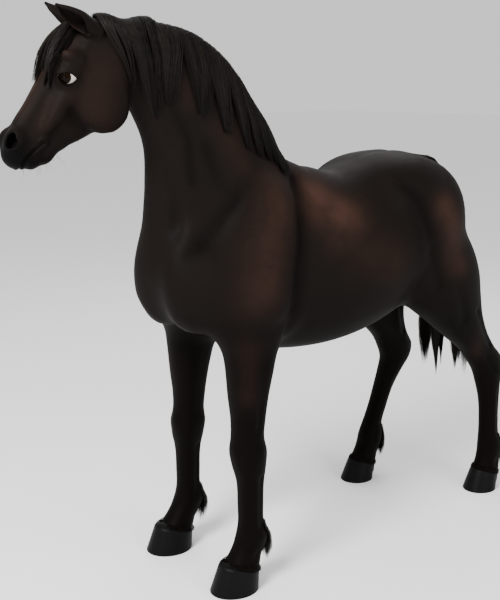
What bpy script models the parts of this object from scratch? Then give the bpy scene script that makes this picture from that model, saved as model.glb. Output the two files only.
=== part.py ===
"""A compact, thick-necked horse standing still, life size: head, ears, eyes, neck, trunk, legs, hooves,
forelock, mane and tail as separate solids.

+Z is up, +X is the horse's left and it faces -Y. The tables are in centimetres of a horse 148 cm tall at the
withers, and CM turns them into metres. The flesh is modelled whole, as masses that melt into each other, and
then parted with thin cuts.
"""

import math

import bmesh
import bpy
import numpy as np
from mathutils import Matrix, Vector

# ---------------------------------------------------------------- driving dimensions
WITHERS_HEIGHT = 1.48
CM = WITHERS_HEIGHT / 148
GAP = 0.05  # clearance between neighbouring solids, in cm
FAR = 99.0  # the field's value away from every form, in cm
LEFT, RIGHT = 1, -1
NECK_TURN, NECK_RISE = 7.0, 54.6  # degrees to the horse's right and up from level
HEAD_TURN, HEAD_SLOPE = 14.0, 54.0  # degrees to the horse's right and down from level
NECK_ROOT = (0, -45, 133)  # the middle of the neck where it leaves the trunk
POLL_ON_NECK = (0, -2.2, 67.8)  # the poll in the neck's own frame: side, up, along

# ---------------------------------------------------------------- masses of the trunk
BARREL = (  # y, low, high, half width
    (-60, 91.5, 122, 15.5),
    (-48, 84.5, 131, 19.5),
    (-34, 79.5, 138, 21.5),
    (-18, 76.5, 139, 24.5),
    (0, 76, 139, 27.3),
    (16, 78.2, 142.6, 28.2),
    (30, 82.4, 146.6, 27.5),
    (44, 88.2, 146.1, 26.5),
    (55, 95.5, 140.2, 23.2),
    (64, 103, 129, 16.5),
)
BARREL_CAPS, BARREL_BLEND, BARREL_POWER, BARREL_WAIST = (9, 6), 6, 2.15, 0.48
WITHERS = ((-42, 118, 135, 7), (-28, 120, 143.5, 6), (-18, 120, 145.6, 6), (-8, 120, 141, 7))
WITHERS_CAPS, WITHERS_BLEND = (12, 9), 12
TRUNK_LUMPS = (  # centre of the left one (x, y, z), radii across, up and along, blend
    ((13, -40, 118), (9, 24, 15), 10),  # shoulder blade
    ((15.5, -56, 103), (8, 13, 10), 10),  # point of the shoulder
    ((8, -64, 108.5), (8, 16, 9.7), 8),  # breast muscle
    ((16, -42, 97), (8.5, 14, 14), 9),  # upper arm
    ((14, 44, 123), (13, 18, 18.8), 10),  # rump
    ((15, 30, 133), (10, 8, 12), 10),  # point of the hip
)

# ---------------------------------------------------------------- neck and head
NECK_ROWS = (  # along, low, high, half width
    (-12, -35.5, 24.5, 17),
    (0, -33.8, 27.2, 15.5),
    (10, -28, 28.4, 14),
    (21, -19.2, 28.2, 12),
    (31, -12.5, 28.2, 10.5),
    (42, -9.6, 26.2, 9.3),
    (52, -9.5, 21.2, 8.4),
    (61, -9.8, 12.8, 7.8),
)
NECK_CAPS, NECK_BLEND, NECK_WAIST = (14, 6), 8, 0.42
SKULL_ROWS = (  # along, low, high, half width
    (0, -13, 6.2, 7.4),
    (8, -16, 9.3, 8.2),
    (16, -17.2, 10.6, 8.3),
    (24, -15.7, 9.7, 7.1),
    (32, -12.0, 9.0, 5.8),
    (39.5, -7.4, 8.7, 4.9),
    (45, -3.6, 7.4, 4.6),
    (47.5, -1.8, 5.6, 4.0),
)
SKULL_CAPS, SKULL_BLEND, SKULL_POWER = (5, 3), 4, 2.3
HEAD_PAIRS = (  # centre of the left one (side, up, along), radii across, up and along, blend
    ((5.0, -8.9, 19.3), (4.0, 10.3, 9.8), 2.5),  # cheek
    ((6.4, 0.2, 27), (1.8, 1.6, 9), 2.5),  # facial crest
    ((7.2, 5.2, 13.6), (2.2, 3.8, 2.4), 2.5),  # brow
    ((6.6, 3.8, 18.4), (3.3, 4.0, 4.2), 1.5),  # lids
    ((3.5, 5.8, 43.2), (2.8, 3.4, 3.8), 2.5),  # nostril
)
HEAD_SINGLES = (
    ((0, 2.9, 46), (4.8, 4.0, 3.8), 3),  # upper lip
    ((0, -2.9, 44.2), (3.8, 2.6, 4.0), 2),  # lower lip
    ((0, -5.3, 41.2), (3, 2.5, 3.4), 2),  # chin
)

# ---------------------------------------------------------------- legs
FORE_LEG = (  # z, front, rear, half width, side
    (100, -56.5, -34, 8, 15.5),
    (88, -56, -33.9, 8.4, 16.5),
    (78, -54.5, -36.6, 7.8, 17),
    (68, -53.5, -39, 6.9, 17),
    (60, -52.6, -40.1, 6.0, 17),
    (54, -52.6, -40.6, 5.8, 17),
    (49, -53.3, -39.9, 6.5, 17),
    (44, -52.6, -40.4, 6.0, 17),
    (39, -51.4, -41.1, 5.0, 17),
    (30, -50.9, -41.4, 4.5, 17),
    (22, -51, -41, 4.6, 17),
    (18, -51.9, -39.8, 5.4, 17),
    (15, -53.4, -40.6, 5.3, 17),
    (12, -55.5, -43, 5.3, 17),
    (8, -59, -44.6, 6.1, 17),
    (3, -62.5, -47.5, 6.8, 17),
)
HIND_LEG = (  # z, front, rear, half width, side
    (118, 34, 64, 10.3, 13),
    (108, 28, 69.6, 12.5, 14.5),
    (98, 27, 72, 12.6, 16),
    (88, 31.5, 71.8, 11.3, 16.8),
    (79, 41.5, 71.2, 9.3, 17),
    (70, 51.5, 73.4, 7.3, 17),
    (64, 58, 76.6, 6.2, 17),
    (58.5, 61.6, 80.4, 5.9, 17),
    (53.5, 64.4, 79.8, 5.9, 17),
    (47, 66.8, 78, 5.3, 17),
    (40, 68.2, 77.2, 4.6, 17),
    (31, 68.6, 77.0, 4.3, 17),
    (24, 68.4, 77.4, 4.5, 17),
    (19, 67.8, 79.4, 5.2, 17),
    (16, 66.6, 78.4, 5.2, 17),
    (12, 64.1, 75.8, 5.0, 17),
    (8, 61.0, 73.8, 5.6, 17),
    (3, 57.5, 71.5, 6.2, 17),
)
LEG_ROWS = {"foreleg": FORE_LEG, "hindleg": HIND_LEG}
LEG_CAPS, LEG_BLEND, LEG_POWER = (1, 6), 5, 2.2
# By side: how far the leg is moved back at each height, low to high, and how far out it stands.
STEP_HEIGHTS = (0, 8, 20, 54, 92, 118)
STEPS = {
    ("foreleg", LEFT): ((-0.7, -0.8, -1.8, -2.1, -0.2, 0), 3),
    ("foreleg", RIGHT): ((0.5, 0.5, 1.2, 1.6, 0, 0), 3.6),
    ("hindleg", LEFT): ((20.6, 18.6, 14.6, 12.2, 2, 0), 2),
    ("hindleg", RIGHT): ((-12.4, -14.2, -15.8, -1.2, -2.6, 0), 6),
}
SPREAD_HEIGHTS = (40, 90)  # it stands this far out below the first, and not at all above the second
FEATHER = (  # z, how far the hair behind a fetlock reaches past the leg, half width
    (12.5, 3.4, 2.6),
    (15, 3.4, 3.2),
    (19, 2.6, 3.0),
    (24, 1.4, 2.2),
    (29, 0.2, 1.4),
)
FEATHER_DEPTH, FEATHER_CAPS, FEATHER_BLEND = 3, (1.5, 1.5), 1.5

# ---------------------------------------------------------------- the net that skins the flesh
NET_STEP = 1.28
FLESH_TRIANGLES = 4150
WORLD_LOW, WORLD_HIGH = (-36, -128, 1), (36, 106, 200)
SLOPE_STEP, LEAST_SLOPE, LONGEST_MOVE = 0.3, 0.05, 1.0

# ---------------------------------------------------------------- cuts between the solids
# Outlines of the blocks: (up, along) in the frame of the head, (z, y) for the others.
HEAD_BLOCK = ((30, -14), (-20.5, 13), (-20.5, 75), (30, 75))
NECK_BLOCK = ((220, -5), (150, -24), (118, -70), (118, -160), (220, -160))
LEG_BLOCKS = {
    "foreleg": ((-5, -90), (86, -90), (84, -33), (72, -20), (-5, -20)),
    "hindleg": ((-5, 10), (74, 10), (82, 33), (90, 50), (100, 90), (100, 120), (-5, 120)),
}
HEAD_BLOCK_HALF, NECK_BLOCK_HALF = 25, 45
INNER_SIDE = {"foreleg": 7.5, "hindleg": 1.0}  # of the blocks, measured from the middle of the body
OUTER_SIDE = 40
JOINT_CUT = {"foreleg": 52.0, "hindleg": 64.0}  # above the knee and the hock
BELOW_BLOCK = (-6, 130, 50)  # its lowest level, half length and width

# ---------------------------------------------------------------- eyes and ears
EYE_CENTRE = (6.4, 3.8, 18.4)  # in the head's frame, with the side given for the left eye
EYE_RADIUS = 3.2
EYE_SIDES = 14
EYE_GAZE = (0.92, 0.12, 0.37)
EYE_LEVEL = (0, 0.86, 0.51)  # from its rear corner to its front corner
EYE_OPENING = ((-2.7, -0.2), (-1.2, -1.5), (1.0, -1.7), (2.7, -0.3), (1.3, 1.4), (-1.0, 1.6))
EYE_OPENING_DEPTH = 5.5
EAR_ROOT = (6.2, 6.0, 2.6)
EAR_LEAN = {LEFT: 6.0, RIGHT: -1.0}  # degrees down the face
EAR_OUT = {LEFT: 9.0, RIGHT: 1.0}  # degrees outward
EAR_OPENING = 32.0  # degrees that its opening turns outward
EAR = (  # along, half width, half depth, half angle of the opening, wall
    (-3.0, 2.4, 2.6, 20, 1.20),
    (0.0, 2.6, 3.0, 24, 0.90),
    (2.0, 3.0, 3.0, 42, 0.70),
    (4.5, 3.5, 2.6, 58, 0.55),
    (8.0, 2.8, 1.9, 66, 0.50),
    (10.6, 1.7, 1.2, 70, 0.45),
    (12.2, 0.7, 0.6, 74, 0.30),
)
EAR_TIP = (0, -0.2, 12.9)
EAR_ARC = 7  # points on each face of its wall
EAR_ROOM = 0.2  # between an ear and the hair around it

# ---------------------------------------------------------------- long hair
HAIR_ROOT_DEPTH = 0.8
# The mane: where it grows along the neck, how long it is there, where its locks part, and its height down the side.
MANE_SPAN = (-7, 74)
MANE_LINES = 42
MANE_ROOT_SIDE, MANE_ROOT_ABOVE = -1.5, 2
MANE_LENGTH = ((-7, 4, 20, 45, 64, 74), (13, 22, 32, 38, 42, 34))
MANE_CREST = ((-7, 50, 61, 68, 75), (32, 32, 15, 6, -3))  # how high the roots may be above the neck's axis
MANE_LOCKS = (-7, -1, 6, 14, 23, 33, 44, 56, 75)
MANE_POINT = 0.42
MANE_PULLS = ((1.5, -0.3, -0.3), (0.6, 0.1, -1), (0.2, 0.25, -1), (0.1, 0.25, -1), (0.1, 0.25, -1))
MANE_LIFT = (1.2, 1.8, 1.7, 1.5, 1.2, 0.7)
MANE_THICKNESS = ((-7, 10, 30, 74), (0.4, 0.8, 1, 1))
FORELOCK_LINES = 13
FORELOCK_HALF, FORELOCK_LENGTH, FORELOCK_FLARE = 2.3, 25, 10
FORELOCK_ROOT = (9, 2.0)  # up and along, in the frame of the head
FORELOCK_LOCKS = (-3, -1, 1, 3)
FORELOCK_POINT = 0.3
FORELOCK_LIFT = (3.0, 3.9, 4.0, 3.4, 2.3, 0.9)
TAIL = (  # y, z, half width, half depth
    (58, 132, 2.6, 2.2),
    (63, 132.2, 3.0, 2.6),
    (67.5, 129.5, 3.4, 3.0),
    (71, 124, 4.2, 3.6),
    (74, 115, 5.6, 4.4),
    (76, 102, 7.8, 5.8),
    (77, 88, 9.8, 7.2),
    (76, 73, 10.6, 8),
    (75.5, 61.5, 9.6, 7.4),
)
TAIL_SIDES = 15
TAIL_POINT_EVERY, TAIL_POINTS, TAIL_HOLLOW = 3, 9.0, 4.0  # how far the points hang, and the hollow between them

# ---------------------------------------------------------------- hooves
HOOF_SIDES = 20
HOOF_RINGS = (0, 0.08, 0.55, 1)  # heights on the wall, as shares of it
HOOVES = {  # half width and half length on the ground, coronet's height at toe and heel, sole's middle ahead
    "foreleg": (7.9, 9.5, 9.8, 5.8, 2.3),
    "hindleg": (6.9, 7.7, 9.2, 5.6, 3.0),
}
CORONET_SHARE = 0.82  # how much smaller the hoof is at the coronet than on the ground
SOLE_BEVEL = 0.03
HEEL_SHARE = 0.9  # how far the heels reach back, as a share of half the length
CORONET_BLOCK = (30, 16)  # half length and half width of the block that takes away what lies below the coronet

# ---------------------------------------------------------------- finishes: linear colour and roughness
COAT = ("black_brown_coat", (0.022, 0.016, 0.013), 0.5)
HORN = ("dark_horn", (0.045, 0.042, 0.04), 0.45)
HAIR = ("black_hair", (0.010, 0.010, 0.009), 0.5)
CORNEA = ("dark_brown_eye", (0.02, 0.009, 0.005), 0.08)


# ---------------------------------------------------------------- forms of flesh
class Form:
    """One mass of flesh: a loft along a straight axis, closed by rounded caps.

    rows   (along, low, high, half_width, side): the section at each station, in the form's own frame
    caps   how far the rounded ends reach past the first and the last station
    blend  how softly it melts into what is already there
    power  2 is an ellipse, more is boxier; waist is the height of the widest level, as a share
    """

    def __init__(self, origin, turn, rows, caps, blend, power=2.0, waist=0.5):
        self.origin = np.array(origin, float)
        self.turn = np.array(turn, float)
        self.rows = np.array([(*row, 0.0)[:5] for row in rows], float)
        self.caps = caps
        self.blend = blend
        self.power = power
        self.waist = waist

    def section(self, along):
        """low, high, half width and side at these stations: cubic curves through the rows."""
        at, values = self.rows[:, 0], self.rows[:, 1:]
        if len(at) == 1:
            return np.repeat(values, len(along), axis=0).T
        slope = np.gradient(values, at, axis=0)
        i = np.clip(np.searchsorted(at, along) - 1, 0, len(at) - 2)
        span = (at[i + 1] - at[i])[:, None]
        t = np.clip((along - at[i])[:, None] / span, 0, 1)
        ends = values[i] * (2 * t**3 - 3 * t**2 + 1) + values[i + 1] * (3 * t**2 - 2 * t**3)
        bends = slope[i] * (t**3 - 2 * t**2 + t) + slope[i + 1] * (t**3 - t**2)
        return (ends + bends * span).T

    def reach(self, points):
        """How far each point is outside the form, along the line from its middle; negative inside."""
        side, up, along = ((points - self.origin) @ self.turn).T
        on = np.clip(along, self.rows[0, 0], self.rows[-1, 0])
        past = along - on
        low, high, half, centre = self.section(on)
        middle = low + (high - low) * self.waist
        u, v = side - centre, up - middle
        rim = np.where(v > 0, high - middle, middle - low)
        cap = np.where(past < 0, self.caps[0], self.caps[1])
        ring = (np.abs(u) / half) ** self.power + (np.abs(v) / rim) ** self.power
        norm = np.sqrt(ring ** (2 / self.power) + (past / cap) ** 2)
        return np.sqrt(u * u + v * v + past * past) * (1 - 1 / np.maximum(norm, 1e-3))

    def box(self):
        """Lowest and highest corner of all that the form can reach."""
        at, low, high, half, side = self.rows.T
        spans = (
            ((side - half).min(), (side + half).max()),
            (low.min(), high.max()),
            (at[0] - self.caps[0], at[-1] + self.caps[1]),
        )
        corners = [(u, v, w) for u in spans[0] for v in spans[1] for w in spans[2]]
        world = np.array(corners) @ self.turn.T + self.origin
        margin = self.blend + 2
        return world.min(0) - margin, world.max(0) + margin


def frame(slope, turn):
    """Columns side, up and along. Along runs ahead (-Y) and dips by slope degrees, side is to the left, and all
    is turned to the horse's right by turn degrees."""
    s, t = math.radians(slope), math.radians(turn)
    ahead, above = np.array([-math.sin(t), -math.cos(t), 0]), np.array([0, 0, 1.0])
    along = ahead * math.cos(s) - above * math.sin(s)
    up = ahead * math.sin(s) + above * math.cos(s)
    return np.stack([np.cross(up, along), up, along], axis=1)


LENGTHWAYS = np.array([[1, 0, 0], [0, 0, 1], [0, 1, 0]]).T  # side X, up Z, along Y
UPRIGHT = np.eye(3)  # side X, up Y (to the rear), along Z
NECK = frame(-NECK_RISE, NECK_TURN)
HEAD = frame(HEAD_SLOPE, HEAD_TURN)
POLL = np.array(NECK_ROOT) + NECK @ POLL_ON_NECK


def on_head(place, side=LEFT):
    """A place given in the head's frame for the left side, for either side."""
    return POLL + HEAD @ np.multiply(place, (side, 1, 1))


def lump(middle, turn, radii, blend):
    """An ellipsoid with these radii across, up and along."""
    across, up, along = radii
    return Form(middle, turn, [(0, -up, up, across)], (along, along), blend)


def melt(a, b, radius):
    """The union of two fields, with a fillet where they meet."""
    h = np.maximum(radius - np.abs(a - b), 0) / radius
    return np.minimum(a, b) - h * h * radius / 4


def field(points, forms):
    """The melted union of the forms at each point; negative inside."""
    total = np.full(len(points), FAR)
    for form in forms:
        low, high = form.box()
        near = ((points > low) & (points < high)).all(1)
        total[near] = melt(total[near], form.reach(points[near]), form.blend)
    return total


# ---------------------------------------------------------------- the flesh
def neck_form():
    """The arched neck, deepest at its root."""
    return Form(NECK_ROOT, NECK, NECK_ROWS, NECK_CAPS, NECK_BLEND, 2.0, NECK_WAIST)


def body_forms():
    """Barrel, withers, breast, shoulders, croup, neck and head."""
    forms = [
        Form((0, 0, 0), LENGTHWAYS, BARREL, BARREL_CAPS, BARREL_BLEND, BARREL_POWER, BARREL_WAIST),
        Form((0, 0, 0), LENGTHWAYS, WITHERS, WITHERS_CAPS, WITHERS_BLEND),
    ]
    for side in (LEFT, RIGHT):
        for centre, radii, blend in TRUNK_LUMPS:
            forms.append(lump(np.multiply(centre, (side, 1, 1)), LENGTHWAYS, radii, blend))
    forms.append(neck_form())
    forms.append(Form(POLL, HEAD, SKULL_ROWS, SKULL_CAPS, SKULL_BLEND, SKULL_POWER))
    for side in (LEFT, RIGHT):
        forms += [lump(on_head(centre, side), HEAD, radii, blend) for centre, radii, blend in HEAD_PAIRS]
    return forms + [lump(on_head(centre), HEAD, radii, blend) for centre, radii, blend in HEAD_SINGLES]


def leg_rows(leg, side):
    """The rows of one leg in its pose, from below the floor of its hoof up into the trunk."""
    shifts, spread = STEPS[leg, side]
    rows = []
    for z, front, rear, half, out in LEG_ROWS[leg]:
        shift = float(np.interp(z, STEP_HEIGHTS, shifts))
        wide = float(np.interp(z, SPREAD_HEIGHTS, (spread, 0)))
        rows.append((z, front + shift, rear + shift, half, side * (out + wide)))
    return rows[::-1]


def feather_rows(rows):
    """The long hair behind a fetlock, which follows the rear edge of the leg."""
    z, _, high, _, side = np.array(rows).T
    heights, reach, width = np.array(FEATHER).T
    rear = np.interp(heights, z, high)
    return np.stack([heights, rear - FEATHER_DEPTH, rear + reach, width, np.interp(heights, z, side)], 1)


def leg_forms():
    """All four legs, from inside the trunk down into the hooves, with the hair at the fetlocks."""
    forms = []
    for leg, side in STEPS:
        rows = leg_rows(leg, side)
        forms.append(Form((0, 0, 0), UPRIGHT, rows, LEG_CAPS, LEG_BLEND, LEG_POWER))
        forms.append(Form((0, 0, 0), UPRIGHT, feather_rows(rows), FEATHER_CAPS, FEATHER_BLEND))
    return forms


# ---------------------------------------------------------------- skinning the field
def net_over(value_at, low, high, step):
    """Points and quads of the surface where the field is 0: in each cell that it crosses, a point at the mean of
    the crossings on its edges, and round each crossed edge, a quad."""
    axes = [np.arange(a, b + step, step) for a, b in zip(low, high)]
    shape = tuple(len(a) for a in axes)
    grid = np.stack(np.meshgrid(*axes, indexing="ij"), -1).reshape(-1, 3)
    value = value_at(grid).reshape(shape)
    spots, rings = [], []
    for axis in range(3):
        here = [slice(None)] * 3
        there = [slice(None)] * 3
        here[axis], there[axis] = slice(0, -1), slice(1, None)
        a, b = value[tuple(here)], value[tuple(there)]
        where = np.stack(np.nonzero((a < 0) != (b < 0)), 1)
        a, b = a[tuple(where.T)], b[tuple(where.T)]
        second, third = (axis + 1) % 3, (axis + 2) % 3
        inner = (where[:, second] > 0) & (where[:, third] > 0)
        where, a, b = where[inner], a[inner], b[inner]
        spot = where.astype(float)
        spot[:, axis] += a / (a - b)
        ring = []
        for back, down in ((1, 1), (0, 1), (0, 0), (1, 0)):
            cell = where.copy()
            cell[:, second] -= back
            cell[:, third] -= down
            ring.append(np.ravel_multi_index(tuple(cell.T), shape))
        ring = np.stack(ring, 1)
        ring[a >= 0] = ring[a >= 0][:, ::-1]
        rings.append(ring)
        spots.append(np.repeat(spot, 4, axis=0))
    rings, spots = np.concatenate(rings), np.concatenate(spots)
    cells, quads = np.unique(rings, return_inverse=True)
    quads = quads.reshape(-1)
    count = np.bincount(quads)
    points = np.stack([np.bincount(quads, spots[:, i]) / count for i in range(3)], 1)
    return points * step + [a[0] for a in axes], quads.reshape(-1, 4)


def slope_at(points, value_at):
    """The field's gradient at the points."""
    sides = [value_at(points + d) - value_at(points - d) for d in np.eye(3) * SLOPE_STEP]
    return np.stack(sides, 1) / (2 * SLOPE_STEP)


def unit(vectors):
    return vectors / np.maximum(np.linalg.norm(vectors, axis=-1, keepdims=True), 1e-9)


def settled(points, value_at, rounds):
    """The points moved along the field's slope onto its zero."""
    for _ in range(rounds):
        slope = slope_at(points, value_at)
        size = np.maximum((slope**2).sum(1, keepdims=True), LEAST_SLOPE)
        points = points - np.clip(value_at(points)[:, None] * slope / size, -LONGEST_MOVE, LONGEST_MOVE)
    return points


def draped(value_at, roots, pulls, lengths):
    """Lines laid down the body from the roots, as (row, line, xyz), each as long as its length. In each row
    they are drawn along that row's pull as far as the surface lets them."""
    lines = [roots]
    for pull in pulls:
        normal = unit(slope_at(lines[-1], value_at))
        ahead = unit(pull - normal * (pull * normal).sum(1, keepdims=True))
        lines.append(settled(lines[-1] + ahead * lengths[:, None] / len(pulls), value_at, 2))
    return np.array(lines)


# ---------------------------------------------------------------- making objects
def clear_scene():
    for item in list(bpy.data.objects):
        bpy.data.objects.remove(item, do_unlink=True)


def new_collection(name, hidden=False):
    group = bpy.data.collections.new(name)
    group.hide_render = hidden
    bpy.context.scene.collection.children.link(group)
    return group


def material(name, colour, roughness):
    made = bpy.data.materials.new(name)
    made.use_nodes = True
    shader = made.node_tree.nodes["Principled BSDF"]
    shader.inputs["Base Color"].default_value = (*colour, 1)
    shader.inputs["Roughness"].default_value = roughness
    made.diffuse_color = (*colour, 1)
    return made


class Maker:
    """Puts meshes in the scene: parts in one collection, cutters in another, all under one empty."""

    def __init__(self):
        self.parts = new_collection("horse")
        self.cutters = new_collection("cutters", hidden=True)
        self.origin = bpy.data.objects.new("origin", None)
        self.parts.objects.link(self.origin)

    def part(self, name, points, faces, finish):
        """A part made of these points, in cm, and faces."""
        made = self._mesh(name, points, faces, self.parts)
        made.data.materials.append(finish)
        return made

    def cutter(self, name, points, faces):
        made = self._mesh(name, points, faces, self.cutters)
        made.display_type = "WIRE"
        made.hide_render = True
        return made

    def _mesh(self, name, points, faces, group):
        data = bpy.data.meshes.new(name)
        data.from_pydata((np.asarray(points) * CM).tolist(), [], [tuple(face) for face in faces])
        shape = bmesh.new()
        shape.from_mesh(data)
        bmesh.ops.recalc_face_normals(shape, faces=shape.faces)
        shape.to_mesh(data)
        shape.free()
        made = bpy.data.objects.new(name, data)
        group.objects.link(made)
        made.parent = self.origin
        return made


def boolean(target, other, operation="DIFFERENCE"):
    cut = target.modifiers.new(f"{operation.lower()} {other.name}", "BOOLEAN")
    cut.operation = operation
    cut.object = other


def decimated(maker, points, faces, triangles):
    """Points, in cm, and triangles of the surface, thinned out to about this many triangles."""
    dense = maker.cutter("dense_flesh", points, faces)
    thin = dense.modifiers.new("thin", "DECIMATE")
    thin.ratio = triangles / (2 * len(faces))
    graph = bpy.context.evaluated_depsgraph_get()
    data = bpy.data.meshes.new_from_object(dense.evaluated_get(graph))
    bpy.data.objects.remove(dense, do_unlink=True)
    data.calc_loop_triangles()
    found = np.empty(len(data.vertices) * 3)
    data.vertices.foreach_get("co", found)
    corners = np.empty(len(data.loop_triangles) * 3, int)
    data.loop_triangles.foreach_get("vertices", corners)
    bpy.data.meshes.remove(data)
    return found.reshape(-1, 3) / CM, corners.reshape(-1, 3)


def grown(points, faces, by):
    """The points moved out along their normals."""
    across = np.cross(points[faces[:, 1]] - points[faces[:, 0]], points[faces[:, 2]] - points[faces[:, 0]])
    normal = np.zeros_like(points)
    for corner in faces.T:
        np.add.at(normal, corner, across)
    return points + by * unit(normal)


def prism(outline, low, high, turn=LENGTHWAYS, origin=(0, 0, 0)):
    """Corners and faces of a block: an outline of (up, along) points, from low to high on the side axis."""
    n = len(outline)
    local = [(side, up, along) for side in (low, high) for up, along in outline]
    faces = [(i, (i + 1) % n, n + (i + 1) % n, n + i) for i in range(n)]
    faces += [tuple(range(n))[::-1], tuple(range(n, 2 * n))]
    return np.array(local, float) @ np.array(turn, float).T + origin, faces


def tube(rings, cap_high=None):
    """Points and faces of a closed loft through the rings (ring, point, xyz), with a point for a pointed cap."""
    rings = np.asarray(rings, float)
    count, sides = rings.shape[:2]
    points = list(rings.reshape(-1, 3))
    faces = [tuple(range(sides))[::-1]]
    for k in range(count - 1):
        for i in range(sides):
            j = (i + 1) % sides
            faces.append((k * sides + i, k * sides + j, (k + 1) * sides + j, (k + 1) * sides + i))
    rim = [(count - 1) * sides + i for i in range(sides)]
    if cap_high is None:
        faces.append(tuple(rim))
    else:
        points.append(np.asarray(cap_high, float))
        faces += [(a, b, len(points) - 1) for a, b in zip(rim, rim[1:] + rim[:1])]
    return np.array(points), faces


def box_sides_grown(points, faces, by):
    """A block with each of its faces moved out by this much: every corner is shared by three faces."""
    middle = points.mean(0)
    planes = []
    for face in faces:
        corner = points[list(face)]
        normal = unit(np.cross(corner[1] - corner[0], corner[2] - corner[0]))
        normal = normal * np.sign(normal @ (corner.mean(0) - middle))
        planes.append((set(face), normal, normal @ corner[0] + by))
    moved = []
    for index in range(len(points)):
        meeting = [(normal, level) for face, normal, level in planes if index in face]
        moved.append(np.linalg.solve([n for n, _ in meeting], [level for _, level in meeting]))
    return np.array(moved)


def name_of(kind, side):
    return f"{kind}_{'left' if side == LEFT else 'right'}"


# ---------------------------------------------------------------- the parts
def build_flesh(maker, points, faces, coat):
    """Head, neck, trunk and legs: each is the whole flesh, cut to its own block."""

    def whole(name):
        return maker.part(name, points, faces, coat)

    def block(name, outline, low, high, turn=LENGTHWAYS, origin=(0, 0, 0)):
        corners, sides = prism(outline, low, high, turn, origin)
        exact = maker.cutter(f"{name}_block", corners, sides)
        wider = maker.cutter(f"{name}_clearance", box_sides_grown(corners, sides, GAP), sides)
        return exact, wider

    head_block, head_gap = block("head", HEAD_BLOCK, -HEAD_BLOCK_HALF, HEAD_BLOCK_HALF, HEAD, POLL)
    neck_block, neck_gap = block("neck", NECK_BLOCK, -NECK_BLOCK_HALF, NECK_BLOCK_HALF)
    boolean(whole("head"), head_block, "INTERSECT")
    neck = whole("neck")
    boolean(neck, neck_block, "INTERSECT")
    boolean(neck, head_gap)
    trunk = whole("trunk")
    boolean(trunk, neck_gap)
    floor, half_length, half_width = BELOW_BLOCK
    for leg, side in STEPS:
        name = name_of(leg, side)
        inner, outer = sorted((side * INNER_SIDE[leg], side * OUTER_SIDE))
        leg_block, leg_gap = block(name, LEG_BLOCKS[leg], inner, outer)
        boolean(trunk, leg_gap)
        level = JOINT_CUT[leg] - GAP
        low = [(floor, -half_length), (level, -half_length), (level, half_length), (floor, half_length)]
        below, below_gap = block(f"{name}_below", low, *sorted((0, side * half_width)))
        upper = whole(f"{name}_upper")
        boolean(upper, leg_block, "INTERSECT")
        boolean(upper, below_gap)
        lower = whole(f"{name}_lower")
        boolean(lower, leg_block, "INTERSECT")
        boolean(lower, below, "INTERSECT")
        boolean(lower, maker.cutter(f"{name}_under", *under_coronet(leg, side)))


def foot(leg, side):
    """Middle of a pastern where it meets the hoof (x, y), and the coronet's mean height."""
    _, _, toe_height, heel_height, _ = HOOVES[leg]
    height = (toe_height + heel_height) / 2
    z, low, high, _, out = np.array(leg_rows(leg, side)).T
    return np.interp(height, z, out), np.interp(height, z, (low + high) / 2), height


def coronet(leg, side, y):
    """Height of the coronet's plane at y."""
    _, half_length, toe_height, heel_height, _ = HOOVES[leg]
    _, middle, height = foot(leg, side)
    return height + (y - middle) * (heel_height - toe_height) / (2 * half_length * CORONET_SHARE)


def under_coronet(leg, side):
    """The block that takes away what lies below the coronet."""
    half_length, half_width = CORONET_BLOCK
    x, y, _ = foot(leg, side)
    front, rear = y - half_length, y + half_length
    edge = [(coronet(leg, side, at) + GAP, at) for at in (front, rear)]
    return prism([(-half_length, front), *edge, (-half_length, rear)], x - half_width, x + half_width)


def build_hoof(maker, leg, side, horn):
    """A hoof: rings from the flat sole up the sloping wall to the coronet."""
    half_width, half_length, _, _, ahead = HOOVES[leg]
    x, y, _ = foot(leg, side)
    angle = np.linspace(0, 2 * np.pi, HOOF_SIDES, endpoint=False)
    across = np.sin(angle)
    lengthways = -np.cos(angle)
    lengthways = np.where(lengthways > 0, HEEL_SHARE * lengthways, lengthways)
    rings = []
    for share in HOOF_RINGS:
        size = 1 + (CORONET_SHARE - 1) * share - SOLE_BEVEL * (share == 0)
        ring_y = y + ahead * (share - 1) + half_length * size * lengthways
        top = coronet(leg, side, y + half_length * CORONET_SHARE * lengthways)
        rings.append(np.stack([x + half_width * size * across, ring_y, top * share], 1))
    maker.part(name_of(f"hoof_{leg[:-3]}", side), *tube(rings), horn)


def eye_frame(side):
    """Axes of an eye: along its opening, up across it, and its gaze."""
    gaze = unit(np.multiply(EYE_GAZE, (side, 1, 1)))
    level = unit(EYE_LEVEL - gaze * (gaze @ EYE_LEVEL))
    return HEAD @ np.stack([level, side * np.cross(gaze, level), gaze], 1)


def build_eye(maker, side, finish):
    """An eyeball, the socket that it leaves in the head, and the opening between the lids."""
    centre = on_head(EYE_CENTRE, side)
    name = name_of("eye", side)
    head = bpy.data.objects["head"]
    for radius, make in ((EYE_RADIUS, maker.part), (EYE_RADIUS + GAP, maker.cutter)):
        ball = bmesh.new()
        bmesh.ops.create_uvsphere(ball, u_segments=EYE_SIDES, v_segments=EYE_SIDES // 2, radius=radius)
        ball.verts.ensure_lookup_table()
        points = np.array([vert.co for vert in ball.verts]) @ eye_frame(side).T + centre
        faces = [[vert.index for vert in face.verts] for face in ball.faces]
        ball.free()
        if make == maker.part:
            make(name, points, faces, finish)
        else:
            boolean(head, make(f"{name}_socket", points, faces))
    level, up, gaze = eye_frame(side).T
    turn = np.stack([gaze, up, level], 1)
    outline = [(rise, along) for along, rise in EYE_OPENING]
    boolean(head, maker.cutter(f"{name}_opening", *prism(outline, 0, EYE_OPENING_DEPTH, turn, centre)))


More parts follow.
